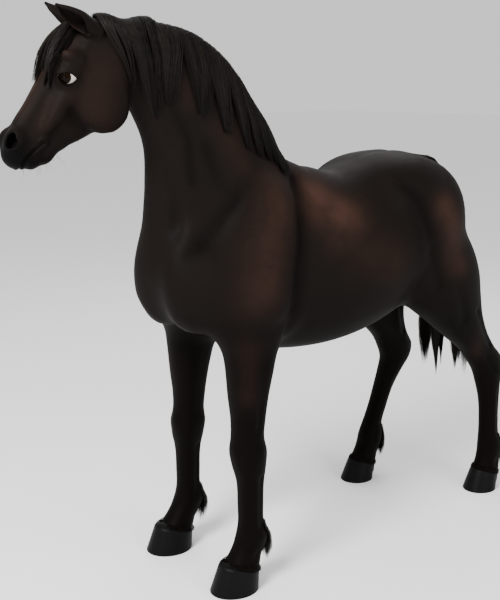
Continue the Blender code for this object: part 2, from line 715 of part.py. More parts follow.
def ear_frame(side):
    """Axes of an ear: its side, where it opens to, and its length."""
    out, lean, opening = math.radians(EAR_OUT[side]), math.radians(EAR_LEAN[side]), math.radians(EAR_OPENING)
    along = unit(np.array([side * math.sin(out), math.cos(out), math.sin(lean)]))
    faces_to = np.array([side * math.sin(opening), 0, math.cos(opening)])
    faces_to = unit(faces_to - along * (along @ faces_to))
    return HEAD @ np.stack([np.cross(faces_to, along), faces_to, along], 1)


def ear_rings(extra=0.0):
    """Closed outlines across the ear, in its own frame: round the back of it and home along the hollow. Extra
    thickens its wall on both faces."""
    rings = []
    for along, half, depth, opening, wall in EAR:
        angle = np.radians(np.linspace(opening, 360 - opening, EAR_ARC))
        around = np.stack([np.sin(angle), np.cos(angle)], 1)
        outer = around * (half + extra, depth + extra)
        inner = around[::-1] * (half - wall - extra, depth - wall - extra)
        ring = np.concatenate([outer, inner])
        rings.append(np.column_stack([ring, np.full(len(ring), along)]))
    return np.array(rings)


def build_ear(maker, side, flesh_gap, coat):
    """One ear, and the room that the hair leaves for it."""
    root = on_head(EAR_ROOT, side)
    name = name_of("ear", side)
    points, faces = tube(ear_rings(), EAR_TIP)
    ear = maker.part(name, points @ ear_frame(side).T + root, faces, coat)
    boolean(ear, flesh_gap)
    points, faces = tube(ear_rings(EAR_ROOM), np.add(EAR_TIP, (0, 0, EAR_ROOM)))
    return maker.cutter(f"{name}_clearance", points @ ear_frame(side).T + root, faces)


def sheet(lines, normal, outer):
    """A closed layer of hair, from its roots in the skin to this height over it, on lines laid down the body."""
    rows, count = lines.shape[:2]
    lift = np.stack([np.broadcast_to(h, (rows, count)) for h in (-HAIR_ROOT_DEPTH, outer)])
    points = lines + normal * lift[..., None]
    at = np.arange(2 * rows * count).reshape(2, rows, count)
    faces = []
    for layer, order in ((0, 1), (1, -1)):
        a = at[layer]
        quads = np.stack([a[:-1, :-1], a[1:, :-1], a[1:, 1:], a[:-1, 1:]], -1).reshape(-1, 4)
        faces += quads[:, ::order].tolist()
    edge = np.concatenate([at[:, 0, :], at[:, 1:, -1], at[:, -1, -2::-1], at[:, -2:0:-1, 0]], 1)
    for i in range(edge.shape[1]):
        j = (i + 1) % edge.shape[1]
        faces.append([edge[0, i], edge[0, j], edge[1, j], edge[1, i]])
    return points.reshape(-1, 3), faces


def pointed(along, locks, depth):
    """A share of full length for each line: locks hang lowest in their middles, by this depth."""
    place = np.interp(along, locks, np.arange(len(locks)))
    return 1 - depth * np.abs(2 * (place % 1) - 1) ** 1.2


def hair_over(maker, name, value_at, lines, lift, room, hair):
    """A layer of hair on these lines, less the room of its neighbours."""
    normal = unit(slope_at(lines.reshape(-1, 3), value_at)).reshape(lines.shape)
    made = maker.part(name, *sheet(lines, normal, lift), hair)
    for cutter in room:
        boolean(made, cutter)


def build_mane(maker, value_at, room, hair):
    """Hair from the crest, over to the left side of the neck, ending in pointed locks."""
    along = np.linspace(*MANE_SPAN, MANE_LINES)
    above = np.minimum(neck_form().section(along)[1] + MANE_ROOT_ABOVE, np.interp(along, *MANE_CREST))
    local = np.stack([np.full_like(along, MANE_ROOT_SIDE), above, along], 1)
    roots = settled(local @ NECK.T + NECK_ROOT, value_at, 4)
    length = np.interp(along, *MANE_LENGTH) * pointed(along, MANE_LOCKS, MANE_POINT)
    lines = draped(value_at, roots, np.array(MANE_PULLS), length)
    lift = np.array(MANE_LIFT)[:, None] * np.interp(along, *MANE_THICKNESS)
    hair_over(maker, "mane", value_at, lines, lift, room, hair)


def build_forelock(maker, value_at, room, hair):
    """Hair from between the ears, down the forehead."""
    side = np.linspace(-FORELOCK_HALF, FORELOCK_HALF, FORELOCK_LINES)
    up, along = FORELOCK_ROOT
    local = np.stack([side, np.full_like(side, up), np.full_like(side, along)], 1)
    roots = settled(local @ HEAD.T + POLL, value_at, 4)
    length = FORELOCK_LENGTH * pointed(side, FORELOCK_LOCKS, FORELOCK_POINT)
    pull = np.stack([side / FORELOCK_FLARE, np.zeros_like(side), np.ones_like(side)], 1) @ HEAD.T
    lines = draped(value_at, roots, [pull] * (len(FORELOCK_LIFT) - 1), length)
    hair_over(maker, "forelock", value_at, lines, np.array(FORELOCK_LIFT)[:, None], room, hair)


def build_tail(maker, flesh_gap, hair):
    """The dock, and the hair that hangs from it and ends in points."""
    y, z, half, depth = np.array(TAIL).T
    path = np.stack([np.zeros_like(y), y, z], 1)
    ahead = unit(np.gradient(path, axis=0))
    across = np.array([1.0, 0, 0])
    angle = np.linspace(0, 2 * np.pi, TAIL_SIDES, endpoint=False)
    rings = []
    for centre, direction, a, b in zip(path, ahead, half, depth):
        up = np.cross(across, direction)
        rings.append(centre + np.outer(a * np.cos(angle), across) + np.outer(b * np.sin(angle), up))
    points = np.arange(TAIL_SIDES) % TAIL_POINT_EVERY == 0
    rings[-1][points] -= (0, 0, TAIL_POINTS)
    tail = maker.part("tail", *tube(rings, path[-1] + (0, 0, TAIL_HOLLOW)), hair)
    boolean(tail, flesh_gap)


def centre(maker):
    """Moves all of it so that the middle of its bounding box stands over the origin."""
    bpy.context.view_layer.update()
    graph = bpy.context.evaluated_depsgraph_get()
    corners = []
    for item in maker.parts.objects:
        if item.type == "MESH":
            corners += [Vector(corner) for corner in item.evaluated_get(graph).bound_box]
    low = Vector(min(corner[i] for corner in corners) for i in range(3))
    high = Vector(max(corner[i] for corner in corners) for i in range(3))
    middle = (low + high) / 2
    maker.origin.matrix_world = Matrix.Translation((-middle.x, -middle.y, 0))


def main():
    clear_scene()
    maker = Maker()
    coat, horn, hair, cornea = (material(*finish) for finish in (COAT, HORN, HAIR, CORNEA))
    forms = body_forms() + leg_forms()

    def value_at(points):
        return field(points, forms)

    points, faces = net_over(value_at, WORLD_LOW, WORLD_HIGH, NET_STEP)
    points, faces = decimated(maker, settled(points, value_at, 4), faces, FLESH_TRIANGLES)
    flesh_gap = maker.cutter("flesh_clearance", grown(points, faces, 2 * GAP), faces)
    build_flesh(maker, points, faces, coat)
    for leg, side in STEPS:
        build_hoof(maker, leg, side, horn)
    room = [flesh_gap]
    for side in (LEFT, RIGHT):
        build_eye(maker, side, cornea)
        room.append(build_ear(maker, side, flesh_gap, coat))
    build_mane(maker, value_at, room, hair)
    build_forelock(maker, value_at, room, hair)
    build_tail(maker, flesh_gap, hair)
    centre(maker)


main()
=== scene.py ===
"""A compact, thick-necked black-brown horse standing still, life size.

One skin covers head, ears, neck, trunk and legs; eyes and hooves are their own pieces; mane, forelock,
tail, the feather at the fetlocks, lashes, whiskers and the short coat are solid strands and tufts over it.
All tables are in centimetres of a horse 148 cm tall at the withers, in the solids' own axes: +X the horse's
left, facing -Y, +Z up. Shares and powers have no unit.
"""

import math

import bmesh
import bpy
import numpy as np
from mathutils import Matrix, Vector


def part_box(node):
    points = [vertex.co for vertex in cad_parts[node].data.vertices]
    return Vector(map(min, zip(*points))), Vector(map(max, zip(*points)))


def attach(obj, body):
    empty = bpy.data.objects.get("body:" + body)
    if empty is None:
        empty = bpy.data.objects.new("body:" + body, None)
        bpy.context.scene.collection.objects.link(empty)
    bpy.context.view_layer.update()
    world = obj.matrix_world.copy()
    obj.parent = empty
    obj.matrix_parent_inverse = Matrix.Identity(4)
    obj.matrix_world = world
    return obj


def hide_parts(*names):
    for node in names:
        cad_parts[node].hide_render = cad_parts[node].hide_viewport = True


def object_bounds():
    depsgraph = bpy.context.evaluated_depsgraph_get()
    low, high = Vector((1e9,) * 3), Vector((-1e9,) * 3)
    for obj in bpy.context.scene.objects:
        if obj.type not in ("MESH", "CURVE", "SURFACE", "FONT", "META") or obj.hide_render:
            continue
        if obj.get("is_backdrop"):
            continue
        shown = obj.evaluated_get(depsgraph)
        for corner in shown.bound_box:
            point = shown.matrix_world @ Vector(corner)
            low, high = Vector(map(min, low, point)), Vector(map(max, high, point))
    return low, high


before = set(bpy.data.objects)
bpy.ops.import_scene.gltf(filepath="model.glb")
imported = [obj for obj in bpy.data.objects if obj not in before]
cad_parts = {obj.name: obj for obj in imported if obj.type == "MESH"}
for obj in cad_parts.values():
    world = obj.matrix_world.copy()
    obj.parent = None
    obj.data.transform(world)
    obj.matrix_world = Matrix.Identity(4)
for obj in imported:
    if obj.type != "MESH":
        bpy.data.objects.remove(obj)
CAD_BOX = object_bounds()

CM = 0.01
FAR = 99.0  # the field's value away from every form, in cm
BOX_MARGIN = 2  # how far past its own size and blend a form is worked out
LEAST_NORM, LEAST_LENGTH = 1e-3, 1e-9  # keep divisions from 0
LEFT, RIGHT = 1, -1
SIDES = (LEFT, RIGHT)
NECK_TURN, NECK_RISE = 7.0, 54.6  # degrees to the horse's right and up from level
HEAD_TURN, HEAD_SLOPE = 14.0, 54.0  # degrees to the horse's right and down from level
NECK_ROOT = (0, -45, 133)  # the middle of the neck where it leaves the trunk
POLL_ON_NECK = (0, -2.2, 67.8)  # the poll in the neck's own frame: side, up, along

# ---------------------------------------------------------------- masses of the trunk
BARREL = (  # y, low, high, half width
    (-60, 91.5, 122, 15.5),
    (-48, 84.5, 131, 19.5),
    (-34, 79.5, 138, 21.5),
    (-18, 76.5, 139, 24.5),
    (0, 76, 139, 27.3),
    (16, 78.2, 142.6, 28.2),
    (30, 82.4, 146.6, 27.5),
    (44, 88.2, 146.1, 26.5),
    (55, 95.5, 140.2, 23.2),
    (64, 103, 129, 16.5),
)
BARREL_CAPS, BARREL_BLEND, BARREL_POWER, BARREL_WAIST = (9, 6), 6, 2.15, 0.48
WITHERS = ((-42, 118, 135, 7), (-28, 120, 143.5, 6), (-18, 120, 145.6, 6), (-8, 120, 141, 7))
WITHERS_CAPS, WITHERS_BLEND = (12, 9), 12
TRUNK_LUMPS = (  # centre of the left one (x, y, z), radii across, up and along, blend
    ((13, -40, 118), (9, 24, 15), 10),  # shoulder blade
    ((15.5, -56, 103), (8, 13, 10), 10),  # point of the shoulder
    ((8, -64, 108.5), (8, 16, 9.7), 8),  # breast muscle
    ((16, -42, 97), (8.5, 14, 14), 9),  # upper arm
    ((14, 44, 123), (13, 18, 18.8), 10),  # rump
    ((15, 30, 133), (10, 8, 12), 10),  # point of the hip
)

# ---------------------------------------------------------------- neck and head
NECK_ROWS = (  # along, low, high, half width
    (-12, -35.5, 24.5, 17),
    (0, -33.8, 27.2, 15.5),
    (10, -28, 28.4, 14),
    (21, -19.2, 28.2, 12),
    (31, -12.5, 28.2, 10.5),
    (42, -9.6, 26.2, 9.3),
    (52, -9.5, 21.2, 8.4),
    (61, -9.8, 12.8, 7.8),
)
NECK_CAPS, NECK_BLEND, NECK_WAIST = (14, 6), 8, 0.42
SKULL_ROWS = (  # along, low, high, half width
    (0, -13, 6.2, 7.4),
    (8, -16, 9.3, 8.2),
    (16, -17.2, 10.6, 8.3),
    (24, -15.7, 9.7, 7.1),
    (32, -12.0, 9.0, 5.8),
    (39.5, -7.4, 8.7, 4.9),
    (45, -3.6, 7.4, 4.6),
    (47.5, -1.8, 5.6, 4.0),
)
SKULL_CAPS, SKULL_BLEND, SKULL_POWER = (5, 3), 4, 2.3
HEAD_PAIRS = (  # centre of the left one (side, up, along), radii across, up and along, blend
    ((5.0, -8.9, 19.3), (4.0, 10.3, 9.8), 2.5),  # cheek
    ((6.2, 0.2, 26), (1.9, 2.2, 9), 4.5),  # facial crest
    ((7.2, 5.2, 13.6), (2.2, 3.8, 2.4), 2.5),  # brow
    ((6.6, 3.8, 18.4), (3.3, 4.0, 4.2), 1.5),  # lids
    ((3.5, 5.8, 43.2), (2.8, 3.4, 3.8), 2.5),  # nostril
)
HEAD_SINGLES = (
    ((0, 2.9, 46), (4.8, 4.0, 3.8), 3),  # upper lip
    ((0, -2.9, 44.2), (3.8, 2.6, 4.0), 2),  # lower lip
    ((0, -5.3, 41.2), (3, 2.5, 3.4), 2),  # chin
)

# ---------------------------------------------------------------- legs
FORE_LEG = (  # z, front, rear, half width, side
    (100, -56.5, -34, 8, 15.5),
    (88, -56, -33.9, 8.4, 16.5),
    (78, -54.5, -36.6, 7.8, 17),
    (68, -53.5, -39, 6.9, 17),
    (60, -52.6, -40.1, 6.0, 17),
    (54, -52.6, -40.6, 5.8, 17),
    (49, -53.3, -39.9, 6.5, 17),
    (44, -52.6, -40.4, 6.0, 17),
    (39, -51.4, -41.1, 5.0, 17),
    (30, -50.9, -41.4, 4.5, 17),
    (22, -51, -41, 4.6, 17),
    (18, -51.9, -39.8, 5.4, 17),
    (15, -53.4, -40.6, 5.3, 17),
    (12, -55.5, -43, 5.3, 17),
    (8, -59, -44.6, 6.1, 17),
    (3, -62.5, -47.5, 6.8, 17),
)
HIND_LEG = (  # z, front, rear, half width, side
    (118, 34, 64, 10.3, 13),
    (108, 28, 69.6, 12.5, 14.5),
    (98, 27, 72, 12.6, 16),
    (88, 31.5, 71.8, 11.3, 16.8),
    (79, 41.5, 71.2, 9.3, 17),
    (70, 51.5, 73.4, 7.3, 17),
    (64, 58, 76.6, 6.2, 17),
    (58.5, 61.6, 80.4, 5.9, 17),
    (53.5, 64.4, 79.8, 5.9, 17),
    (47, 66.8, 78, 5.3, 17),
    (40, 68.2, 77.2, 4.6, 17),
    (31, 68.6, 77.0, 4.3, 17),
    (24, 68.4, 77.4, 4.5, 17),
    (19, 67.8, 79.4, 5.2, 17),
    (16, 66.6, 78.4, 5.2, 17),
    (12, 64.1, 75.8, 5.0, 17),
    (8, 61.0, 73.8, 5.6, 17),
    (3, 57.5, 71.5, 6.2, 17),
)
LEG_ROWS = {"foreleg": FORE_LEG, "hindleg": HIND_LEG}
LEG_CAPS, LEG_BLEND, LEG_POWER = (1, 6), 5, 2.2
# By side: how far the leg is moved back at each height, low to high, and how far out it stands.
STEP_HEIGHTS = (0, 8, 20, 54, 92, 118)
STEPS = {
    ("foreleg", LEFT): ((-0.7, -0.8, -1.8, -2.1, -0.2, 0), 3),
    ("foreleg", RIGHT): ((0.5, 0.5, 1.2, 1.6, 0, 0), 3.6),
    ("hindleg", LEFT): ((20.6, 18.6, 14.6, 12.2, 2, 0), 2),
    ("hindleg", RIGHT): ((-12.4, -14.2, -15.8, -1.2, -2.6, 0), 6),
}
SPREAD_HEIGHTS = (40, 90)  # it stands this far out below the first, and not at all above the second
FEATHER = (  # z, how far the hair behind a fetlock reaches past the leg, half width
    (12.5, 3.4, 2.6),
    (15, 3.4, 3.2),
    (19, 2.6, 3.0),
    (24, 1.4, 2.2),
    (29, 0.2, 1.4),
)

# ---------------------------------------------------------------- eyes, ears and hooves, as in the solids
EYE_CENTRE = (6.4, 3.8, 18.4)  # in the head's frame, with the side given for the left eye
EYE_RADIUS = 3.2
EYE_GAZE = (0.92, 0.12, 0.37)
EYE_LEVEL = (0, 0.86, 0.51)  # from its rear corner to its front corner
EAR_ROOT = (6.2, 6.0, 2.6)
EAR_LEAN = {LEFT: 6.0, RIGHT: -1.0}  # degrees down the face
EAR_OUT = {LEFT: 9.0, RIGHT: 1.0}  # degrees outward
EAR_OPENING = 32.0  # degrees that its opening turns outward
EAR_ROWS = (  # along, low, high, half width
    (-3.0, -2.6, 2.6, 2.4),
    (0.0, -3.0, 3.0, 2.7),
    (2.0, -3.0, 3.0, 3.0),
    (4.5, -2.6, 2.6, 3.5),
    (8.0, -1.9, 1.9, 2.85),
    (10.6, -1.2, 1.2, 1.75),
    (12.2, -0.7, 0.6, 0.8),
)
EAR_HOLLOW = (  # along, low, high, half width
    (1.2, -0.6, 5.0, 0.6),
    (2.4, -1.6, 5.0, 1.5),
    (4.5, -1.75, 4.6, 2.6),
    (7.5, -1.25, 3.8, 2.2),
    (9.8, -0.75, 2.8, 1.3),
    (10.9, -0.3, 2.0, 0.4),
)
HOOVES = {  # half width and half length on the ground, coronet's height at toe and heel, sole's middle ahead
    "foreleg": (7.9, 9.5, 9.8, 5.8, 2.3),
    "hindleg": (6.9, 7.7, 9.2, 5.6, 3.0),
}
CORONET_SHARE = 0.82  # how much smaller the hoof is at the coronet than on the ground
SOLE_BEVEL = 0.03
HEEL_SHARE = 0.9  # how far the heels reach back, as a share of half the length

# ---------------------------------------------------------------- long hair, as the solids have it
MANE_ROOT_SIDE, MANE_ROOT_ABOVE = -1.5, 2
MANE_CREST = ((-7, 50, 61, 68, 75), (32, 32, 15, 6, -3))  # stations, and the roots' greatest height there
MANE_LOCKS = (  # roots from and to, the tip's station, length, and the share where it starts to narrow
    (0, 6.5, 12, 21, 0.45),
    (6.5, 12, 17.5, 27.5, 0.5),
    (12, 18, 22, 27.5, 0.55),
    (18, 24.5, 29, 32.5, 0.45),
    (24.5, 31, 36, 37, 0.45),
    (31, 39.5, 42, 39.5, 0.3),
    (39.5, 49.5, 51, 39.5, 0.3),
    (49.5, 57.3, 58, 36, 0.45),
    (57.3, 63.5, 65, 35, 0.3),
    (63.5, 71, 68.5, 41, 0.45),
    (71, 75, 72, 30, 0.3),
)
# The way the hair is drawn in each part of its length, root to tip.
MANE_PULLS = ((1.5, -0.3, -0.3), (0.6, 0.1, -1), (0.2, 0.25, -1), (0.1, 0.25, -1), (0.1, 0.25, -1))
MANE_LIFT = (1.2, 1.8, 1.7, 1.5, 1.2, 0.7)  # height over the flesh, root to tip
MANE_THICKNESS = ((-7, 10, 30, 74), (0.4, 0.8, 1, 1))  # stations on the neck, and shares of that height
FORELOCK_HALF, FORELOCK_LENGTH, FORELOCK_FLARE = 2.5, 26.5, 10.5
FORELOCK_ROOT = (9, 2.0)  # up and along, in the head's frame
FORELOCK_LOCKS, FORELOCK_POINT = (-3, -1, 1, 3), 0.3  # edges of its locks, and how much shorter those are
FORELOCK_LIFT = (3.0, 3.9, 4.0, 3.4, 2.3, 0.9)
TAIL = (  # y, z, half width, half depth
    (58, 132, 2.6, 2.2),
    (63, 132.2, 3.0, 2.6),
    (67.5, 129.5, 3.4, 3.0),
    (71, 124, 4.2, 3.6),
    (74, 115, 5.6, 4.4),
    (76, 102, 7.8, 5.8),
    (77, 88, 9.8, 7.2),
    (76, 73, 10.6, 8),
    (75.5, 61.5, 9.6, 7.4),
)

# ---------------------------------------------------------------- the view
CAMERA_PLACE = (2.70, -2.58, 1.73)  # in metres, in the tables' axes
CAMERA_TURN, CAMERA_PITCH = 50.0, -12.3  # degrees that it looks round from +Y towards -X, and up
CAMERA_LENS, CAMERA_SENSOR = 60.48, 36.0

# ---------------------------------------------------------------- the skin's finer forms, in cm
EAR_CAPS = (1.5, 1.0)
EAR_BLEND, EAR_HOLLOW_BLEND = 1.6, 0.6
NOSTRILS = (  # centre (side, up, along), radii across, up and along, blend
    ((4.8, 6.4, 44.5), (1.7, 1.5, 1.9), 0.7),
    ((4.9, 7.5, 43.2), (1.4, 0.9, 1.4), 0.8),
    ((3.4, 6.2, 42.4), (1.1, 0.9, 2.2), 0.9),
)
LID_MIDDLE, LID_HALF, LID_PAST = 0.2, 2.85, 1.2  # of the opening; its curves run on to this share of its half
LID_UPPER, LID_LOWER, LID_UPPER_POWER = 1.75, 1.35, 2.3
LID_FLOOR, LID_ROUND = 0.35, 0.35
CREASE_DEPTH, CREASE_ABOVE, CREASE_HALF = 0.22, 0.85, 0.28
CREASE_REACH, CREASE_POWER, BAG_SHARE = 3.4, 4, 0.6  # along the lid, and the lower crease's share of depth
EYE_REGION, LID_REGION, EYE_FIELD = 9, 8, 7  # how far from the eye's middle its forms are worked out
EYE_BESIDE = 4  # half the length of the opening's neighbourhood
MOUTH_LINE = ((39.3, -1.5), (43, -0.4), (46.5, 0.4), (49, -0.4), (52, -1.5))  # along and up
MOUTH_DEPTH, MOUTH_HALF = 0.5, 0.32
MOUTH_MIDDLE, MOUTH_REGION = (0, 0, 42), 18
LIP_BULGE, LIP_AWAY, LIP_HALF = 0.18, 1.0, 0.55
FOLD_BULGE, FOLD_AWAY, FOLD_PAST = 0.3, 1.5, 0.5  # behind the corner of the mouth
NOSTRIL_MIDDLE = (4.3, 6.2, 44.2)
# Centre and radius of each place on the left side of the head where the net is split once more.
FINE_PLACES = ((EYE_CENTRE, 5.2), (NOSTRIL_MIDDLE, 3.4), ((2.5, 0, 46), 4.2), ((3.5, -1.5, 40), 3.2))
FINE_SLOPE_STEPS = (0.3, 0.15)

BEHIND_SHOULDER = ((10, -20, 139), (16, -21.5, 133), (21, -25, 124), (23.5, -27.5, 112), (23.5, -29, 102))
BEFORE_SHOULDER = ((9, -40, 142), (16.6, -51, 134), (16.5, -60, 125), (12, -67, 117))
ALONG_THIGH = ((24, 20, 139), (27.5, 28, 129), (28.4, 33, 118), (28.4, 38, 107), (28, 42, 96))
# Lines of relief: (places, half width, depth), the left side's; a negative depth is a ridge.
TRUNK_RELIEF = (  # x, y, z
    ((*BEHIND_SHOULDER, (22, -32, 88)), 2.8, 1.7),
    (BEFORE_SHOULDER, 2.8, 1.1),
    (((10, -30, 135), (18, -44, 118), (22, -55, 106)), 2.4, -0.5),  # spine of the shoulder blade
    (((21, -60, 99), (13, -72, 97), (8, -70, 89)), 2.4, 0.8),  # between breast and upper arm
    (((0, -82, 114), (0, -80, 98), (0, -68, 86)), 2.2, 0.7),  # middle of the breast
    (((25, -28, 97), (25, -40, 92), (22, -52, 95)), 2.2, 0.6),  # over the elbow
    (((24, 26, 92), (25, 33, 101), (26, 38, 113)), 3.2, 0.9),  # fold of the flank
    (((20, 16, 130), (19, 24, 133)), 5.0, 0.8),  # hollow before the hip
    (ALONG_THIGH, 2.3, 1.1),
    (((17, 68, 124), (19, 68, 106), (17, 64, 90)), 2.4, 0.7),  # behind the thigh
    (((0, 20, 148), (0, 40, 148), (0, 56, 142)), 2.2, 0.6),  # down the middle of the croup
)
NECK_RELIEF = (  # side, up, along
    (((6, -6, 50), (8.5, -12, 32), (11.5, -19, 14), (10, -26, 1)), 2.2, 1.1),  # jugular groove
    (((7, 9, 50), (9.5, 5, 32), (13, 0, 12)), 3.0, 0.6),  # between the long muscles
    (((4, 16, 48), (5, 21, 34), (7, 21, 16)), 2.6, 0.5),  # under the crest
)
HEAD_RELIEF = (  # side, up, along
    (((6.9, -2.5, 26.5), (6.4, -6, 28.6), (5.4, -11, 28.4), (4.2, -15, 25)), 1.9, 1.15),  # front of the cheek
    (((5.8, 9.2, 9.4), (6.4, 8.4, 11.2)), 1.7, 0.7),  # hollow over the eye
    (((7.6, 3.6, 12.5), (7.8, 4.6, 7.0)), 1.1, -0.35),  # arch behind the eye
    (((5.6, 10.4, 10.5), (7.0, 8.8, 13.4), (7.2, 7.4, 17)), 0.9, -0.4),  # ridge over the eye
    # rim of the nostril
    (((5.2, 8.7, 42.4), (5.2, 8.2, 45.2), (5.2, 6.2, 46.8), (5.4, 4.4, 45.4), (5.6, 4.6, 42.6)), 0.8, -0.3),
    (((5.8, 5.0, 26), (5.0, 4.2, 38)), 2.2, 0.4),  # hollow beside the nose
    (((3.0, 9.2, 20), (2.6, 8.4, 38)), 0.9, -0.25),  # edge of the nose's bridge
    (((6.2, -2.2, 29), (5.9, 1.8, 32.5), (5.0, 5.5, 36)), 0.3, -0.12),  # vein of the face
    (((4.4, -2.8, 36), (3.6, -3.6, 42)), 1.0, 0.3),  # under the lower lip
    (((0, -13.5, 10), (0, -13, 26), (0, -9, 34)), 2.2, 0.8),  # between the jaws
    (((6.8, -8, 8.5), (6.4, -14, 12.5), (5.4, -17.5, 18)), 1.1, -0.3),  # edge of the jaw
)
LEG_RELIEF = {  # z, out and back; out is 1 on the outer side and -1 on the inner, back is 1 at the rear
    "foreleg": (
        (((40, 1, 0.25), (22, 1, 0.25)), 0.9, 0.45),  # before the tendons, outside and inside
        (((40, -1, 0.25), (22, -1, 0.25)), 0.9, 0.45),
        (((80, 1, -0.1), (58, 0.9, 0.1)), 1.3, 0.5),  # between the forearm's muscles
        (((52, 0.5, -1), (45, 0.5, -1)), 1.2, 0.25),  # front of the knee
        (((50, 1, 0.6), (45, 1, 0.7)), 1.0, 0.4),  # behind the knee
        (((22, 1, 0.5), (20, 1, 0.6)), 1.0, 0.4),  # over the fetlock
        (((13, 1, 0.1), (11, 1, 0.1)), 1.3, 0.3),  # pastern
    ),
    "hindleg": (
        (((44, 1, 0.3), (24, 1, 0.3)), 0.9, 0.45),  # before the tendons, outside and inside
        (((44, -1, 0.3), (24, -1, 0.3)), 0.9, 0.45),
        (((82, 1, 0.45), (66, 1, 0.5)), 1.5, 1.1),  # before the tendon of the hock, outside and inside
        (((82, -1, 0.45), (66, -1, 0.5)), 1.5, 1.1),
        (((98, 1, -0.1), (80, 1, -0.2)), 1.8, 0.6),  # between the gaskin's muscles
        (((60, 1, -0.4), (54, 1, -0.2)), 1.1, 0.35),  # hock
        (((24, 1, 0.5), (21, 1, 0.6)), 1.0, 0.4),  # over the fetlock
        (((13, 1, 0.1), (11, 1, 0.1)), 1.3, 0.3),  # pastern
    ),
}

# ---------------------------------------------------------------- the skin's nets
BODY_BOX = (-36, -108, 1), (36, 106, 200)
HEAD_BOX = (-27, -129, 140), (17, -36, 207)
BODY_STEP, HEAD_STEP = 1.48, 0.465
COARSE, NEAR_CELLS = 4, 2.0  # fine cells in a coarse one, and how near the surface a coarse one is split
JOIN = (38.0, 38.7)  # stations on the neck where the two nets end
RIM_MERGE, CUT_MERGE = 0.15, 1e-4
FINE_BELOW = 66  # the net of the legs is split once more below this height
BODY_COAT, FACE_COAT = 0.3, 0.12  # depth of the coat
FACE_FROM, FACE_FADE = 45, 15  # stations on the neck over which the coat gets shorter
SLOPE_STEP, LEAST_SLOPE, LONGEST_MOVE = 0.3, 0.05, 1.0
RELIEF_REACH = 3  # a groove is worked out to this many half widths

# ---------------------------------------------------------------- colours of the coat, painted highlights and painted shade
# Reddish brown painted highlights on the coat, where light falls on the ribs, shoulder, buttock, flank,
# forearm, hock and neck.
TAN_HIGHLIGHT_LINES = (  # places on the left side, half width, share
    (((15, -14, 132), (21, -8, 126)), 9.5, 1.0),  # ribs behind the shoulder
    (((16, -34, 135), (20, -42, 120), (21, -47, 104)), 8, 0.55),  # shoulder
    (((28.5, 41, 126), (28.5, 47, 116), (28, 50, 104)), 6, 0.75),  # buttock
    (((26, 0, 112), (26, 12, 108)), 9, 0.2),  # flank
    (((23, -51, 84), (23.5, -52, 70)), 5.5, 0.4),  # forearm
    (((24, 70, 70), (24, 71, 63)), 5, 0.5),  # above the hock
    (((10, -50, 157), (13, -45, 147)), 4.5, 0.17),  # under the mane
    # painted light on the neck between two locks, where the mane shades it
    (((6, -66, 174), (7.6, -63, 166)), 2.6, 0.14),  # between two locks of the mane
)
# Reddish brown painted highlights on the head: on the bridge of the nose, the ridge over the eye, the cheek
# and the side of the nose.
TAN_HIGHLIGHTS_ON_HEAD = (  # the same, in the head's frame: side, up, along
    (((0, 9.6, 22), (0, 8.6, 34)), 2.8, 0.36),  # bridge of the nose
    (((6, 10.6, 8), (7, 9, 12)), 2.4, 0.7),  # ridge over the eye
    (((6, -6, 14), (6, -8, 21)), 7.5, 0.24),  # cheek
    (((5, 2, 28), (4.6, 1, 34)), 3.0, 0.15),  # side of the nose
)
# Painted shade in the grooves and folds of the trunk and neck, along the lines of relief: places on the left
# side, half width, share.
PAINTED_SHADE_LINES = (
    ((*BEHIND_SHOULDER, (22, -32, 90)), 3.0, 0.95),
    (BEFORE_SHOULDER, 3.2, 0.7),
    (ALONG_THIGH, 2.6, 0.85),
    (((27, 22, 130), (28, 27, 118), (27, 30, 106)), 2.0, 0.4),  # before the thigh
    (((4, -74, 150), (8, -71, 138), (9, -71, 124)), 3.0, 0.6),  # under the windpipe
    (((10, -58, 152), (14, -56, 142), (16, -53, 137)), 2.6, 0.5),  # root of the neck
    (((6.7, -70, 167), (8.1, -64, 155), (9.2, -63.5, 141)), 1.7, 0.6),  # groove along the neck
)
# Painted shade on the head: in front of the cheek, under the ridge over the eye, and behind the corner of the
# mouth.
PAINTED_SHADE_ON_HEAD = (
    (((6.8, -2.5, 26.5), (6.4, -7, 28.6), (5.2, -12, 27.5)), 2.2, 0.8),  # front of the cheek
    (((7.4, 6.6, 13), (7.4, 7.2, 16.5), (6.6, 6.8, 20)), 0.8, 0.7),  # under the ridge over the eye
    (((5.6, -1, 33), (4.6, -2.2, 38)), 1.6, 0.6),  # behind the corner of the mouth
)
LID_DARK = 0.55  # how far the black rim of the lids reaches
# The black of the legs, which runs on up over the belly and lower chest as painted shade on the underside.
BLACK_AND_UNDER_SHADE_BELOW, BLACK_AND_UNDER_SHADE_FADE, TAN_ON_LEGS = 102, 22, 0.9  # heights, and how far tan keeps the black off
MUZZLE_FROM, MUZZLE_FADE, MUZZLE_PAST = 40, 6, 40  # stations on the head, and the neck's least station there

# ---------------------------------------------------------------- the flat map of the skin
NECK_CHART, HEAD_CHART, FIRST_LEG_CHART = 1, 2, 3  # the trunk's is 0
NECK_CHART_FROM, NECK_CHART_ABOVE = 4, 118  # a station on the neck, and a height
HEAD_CHART_FROM, HEAD_CHART_PAST = 46, -6  # stations on the neck and on the head
LEG_CHART_BELOW, FORE_CHART_AHEAD = 84, -15  # a height, and the y between fore and hind legs
LEG_CHART_ROW = 5  # the row of a leg's table that its chart is rolled round
WINDOW_EDGE, MAP_EDGE = 0.02, 0.001  # left free round each window, and round the map

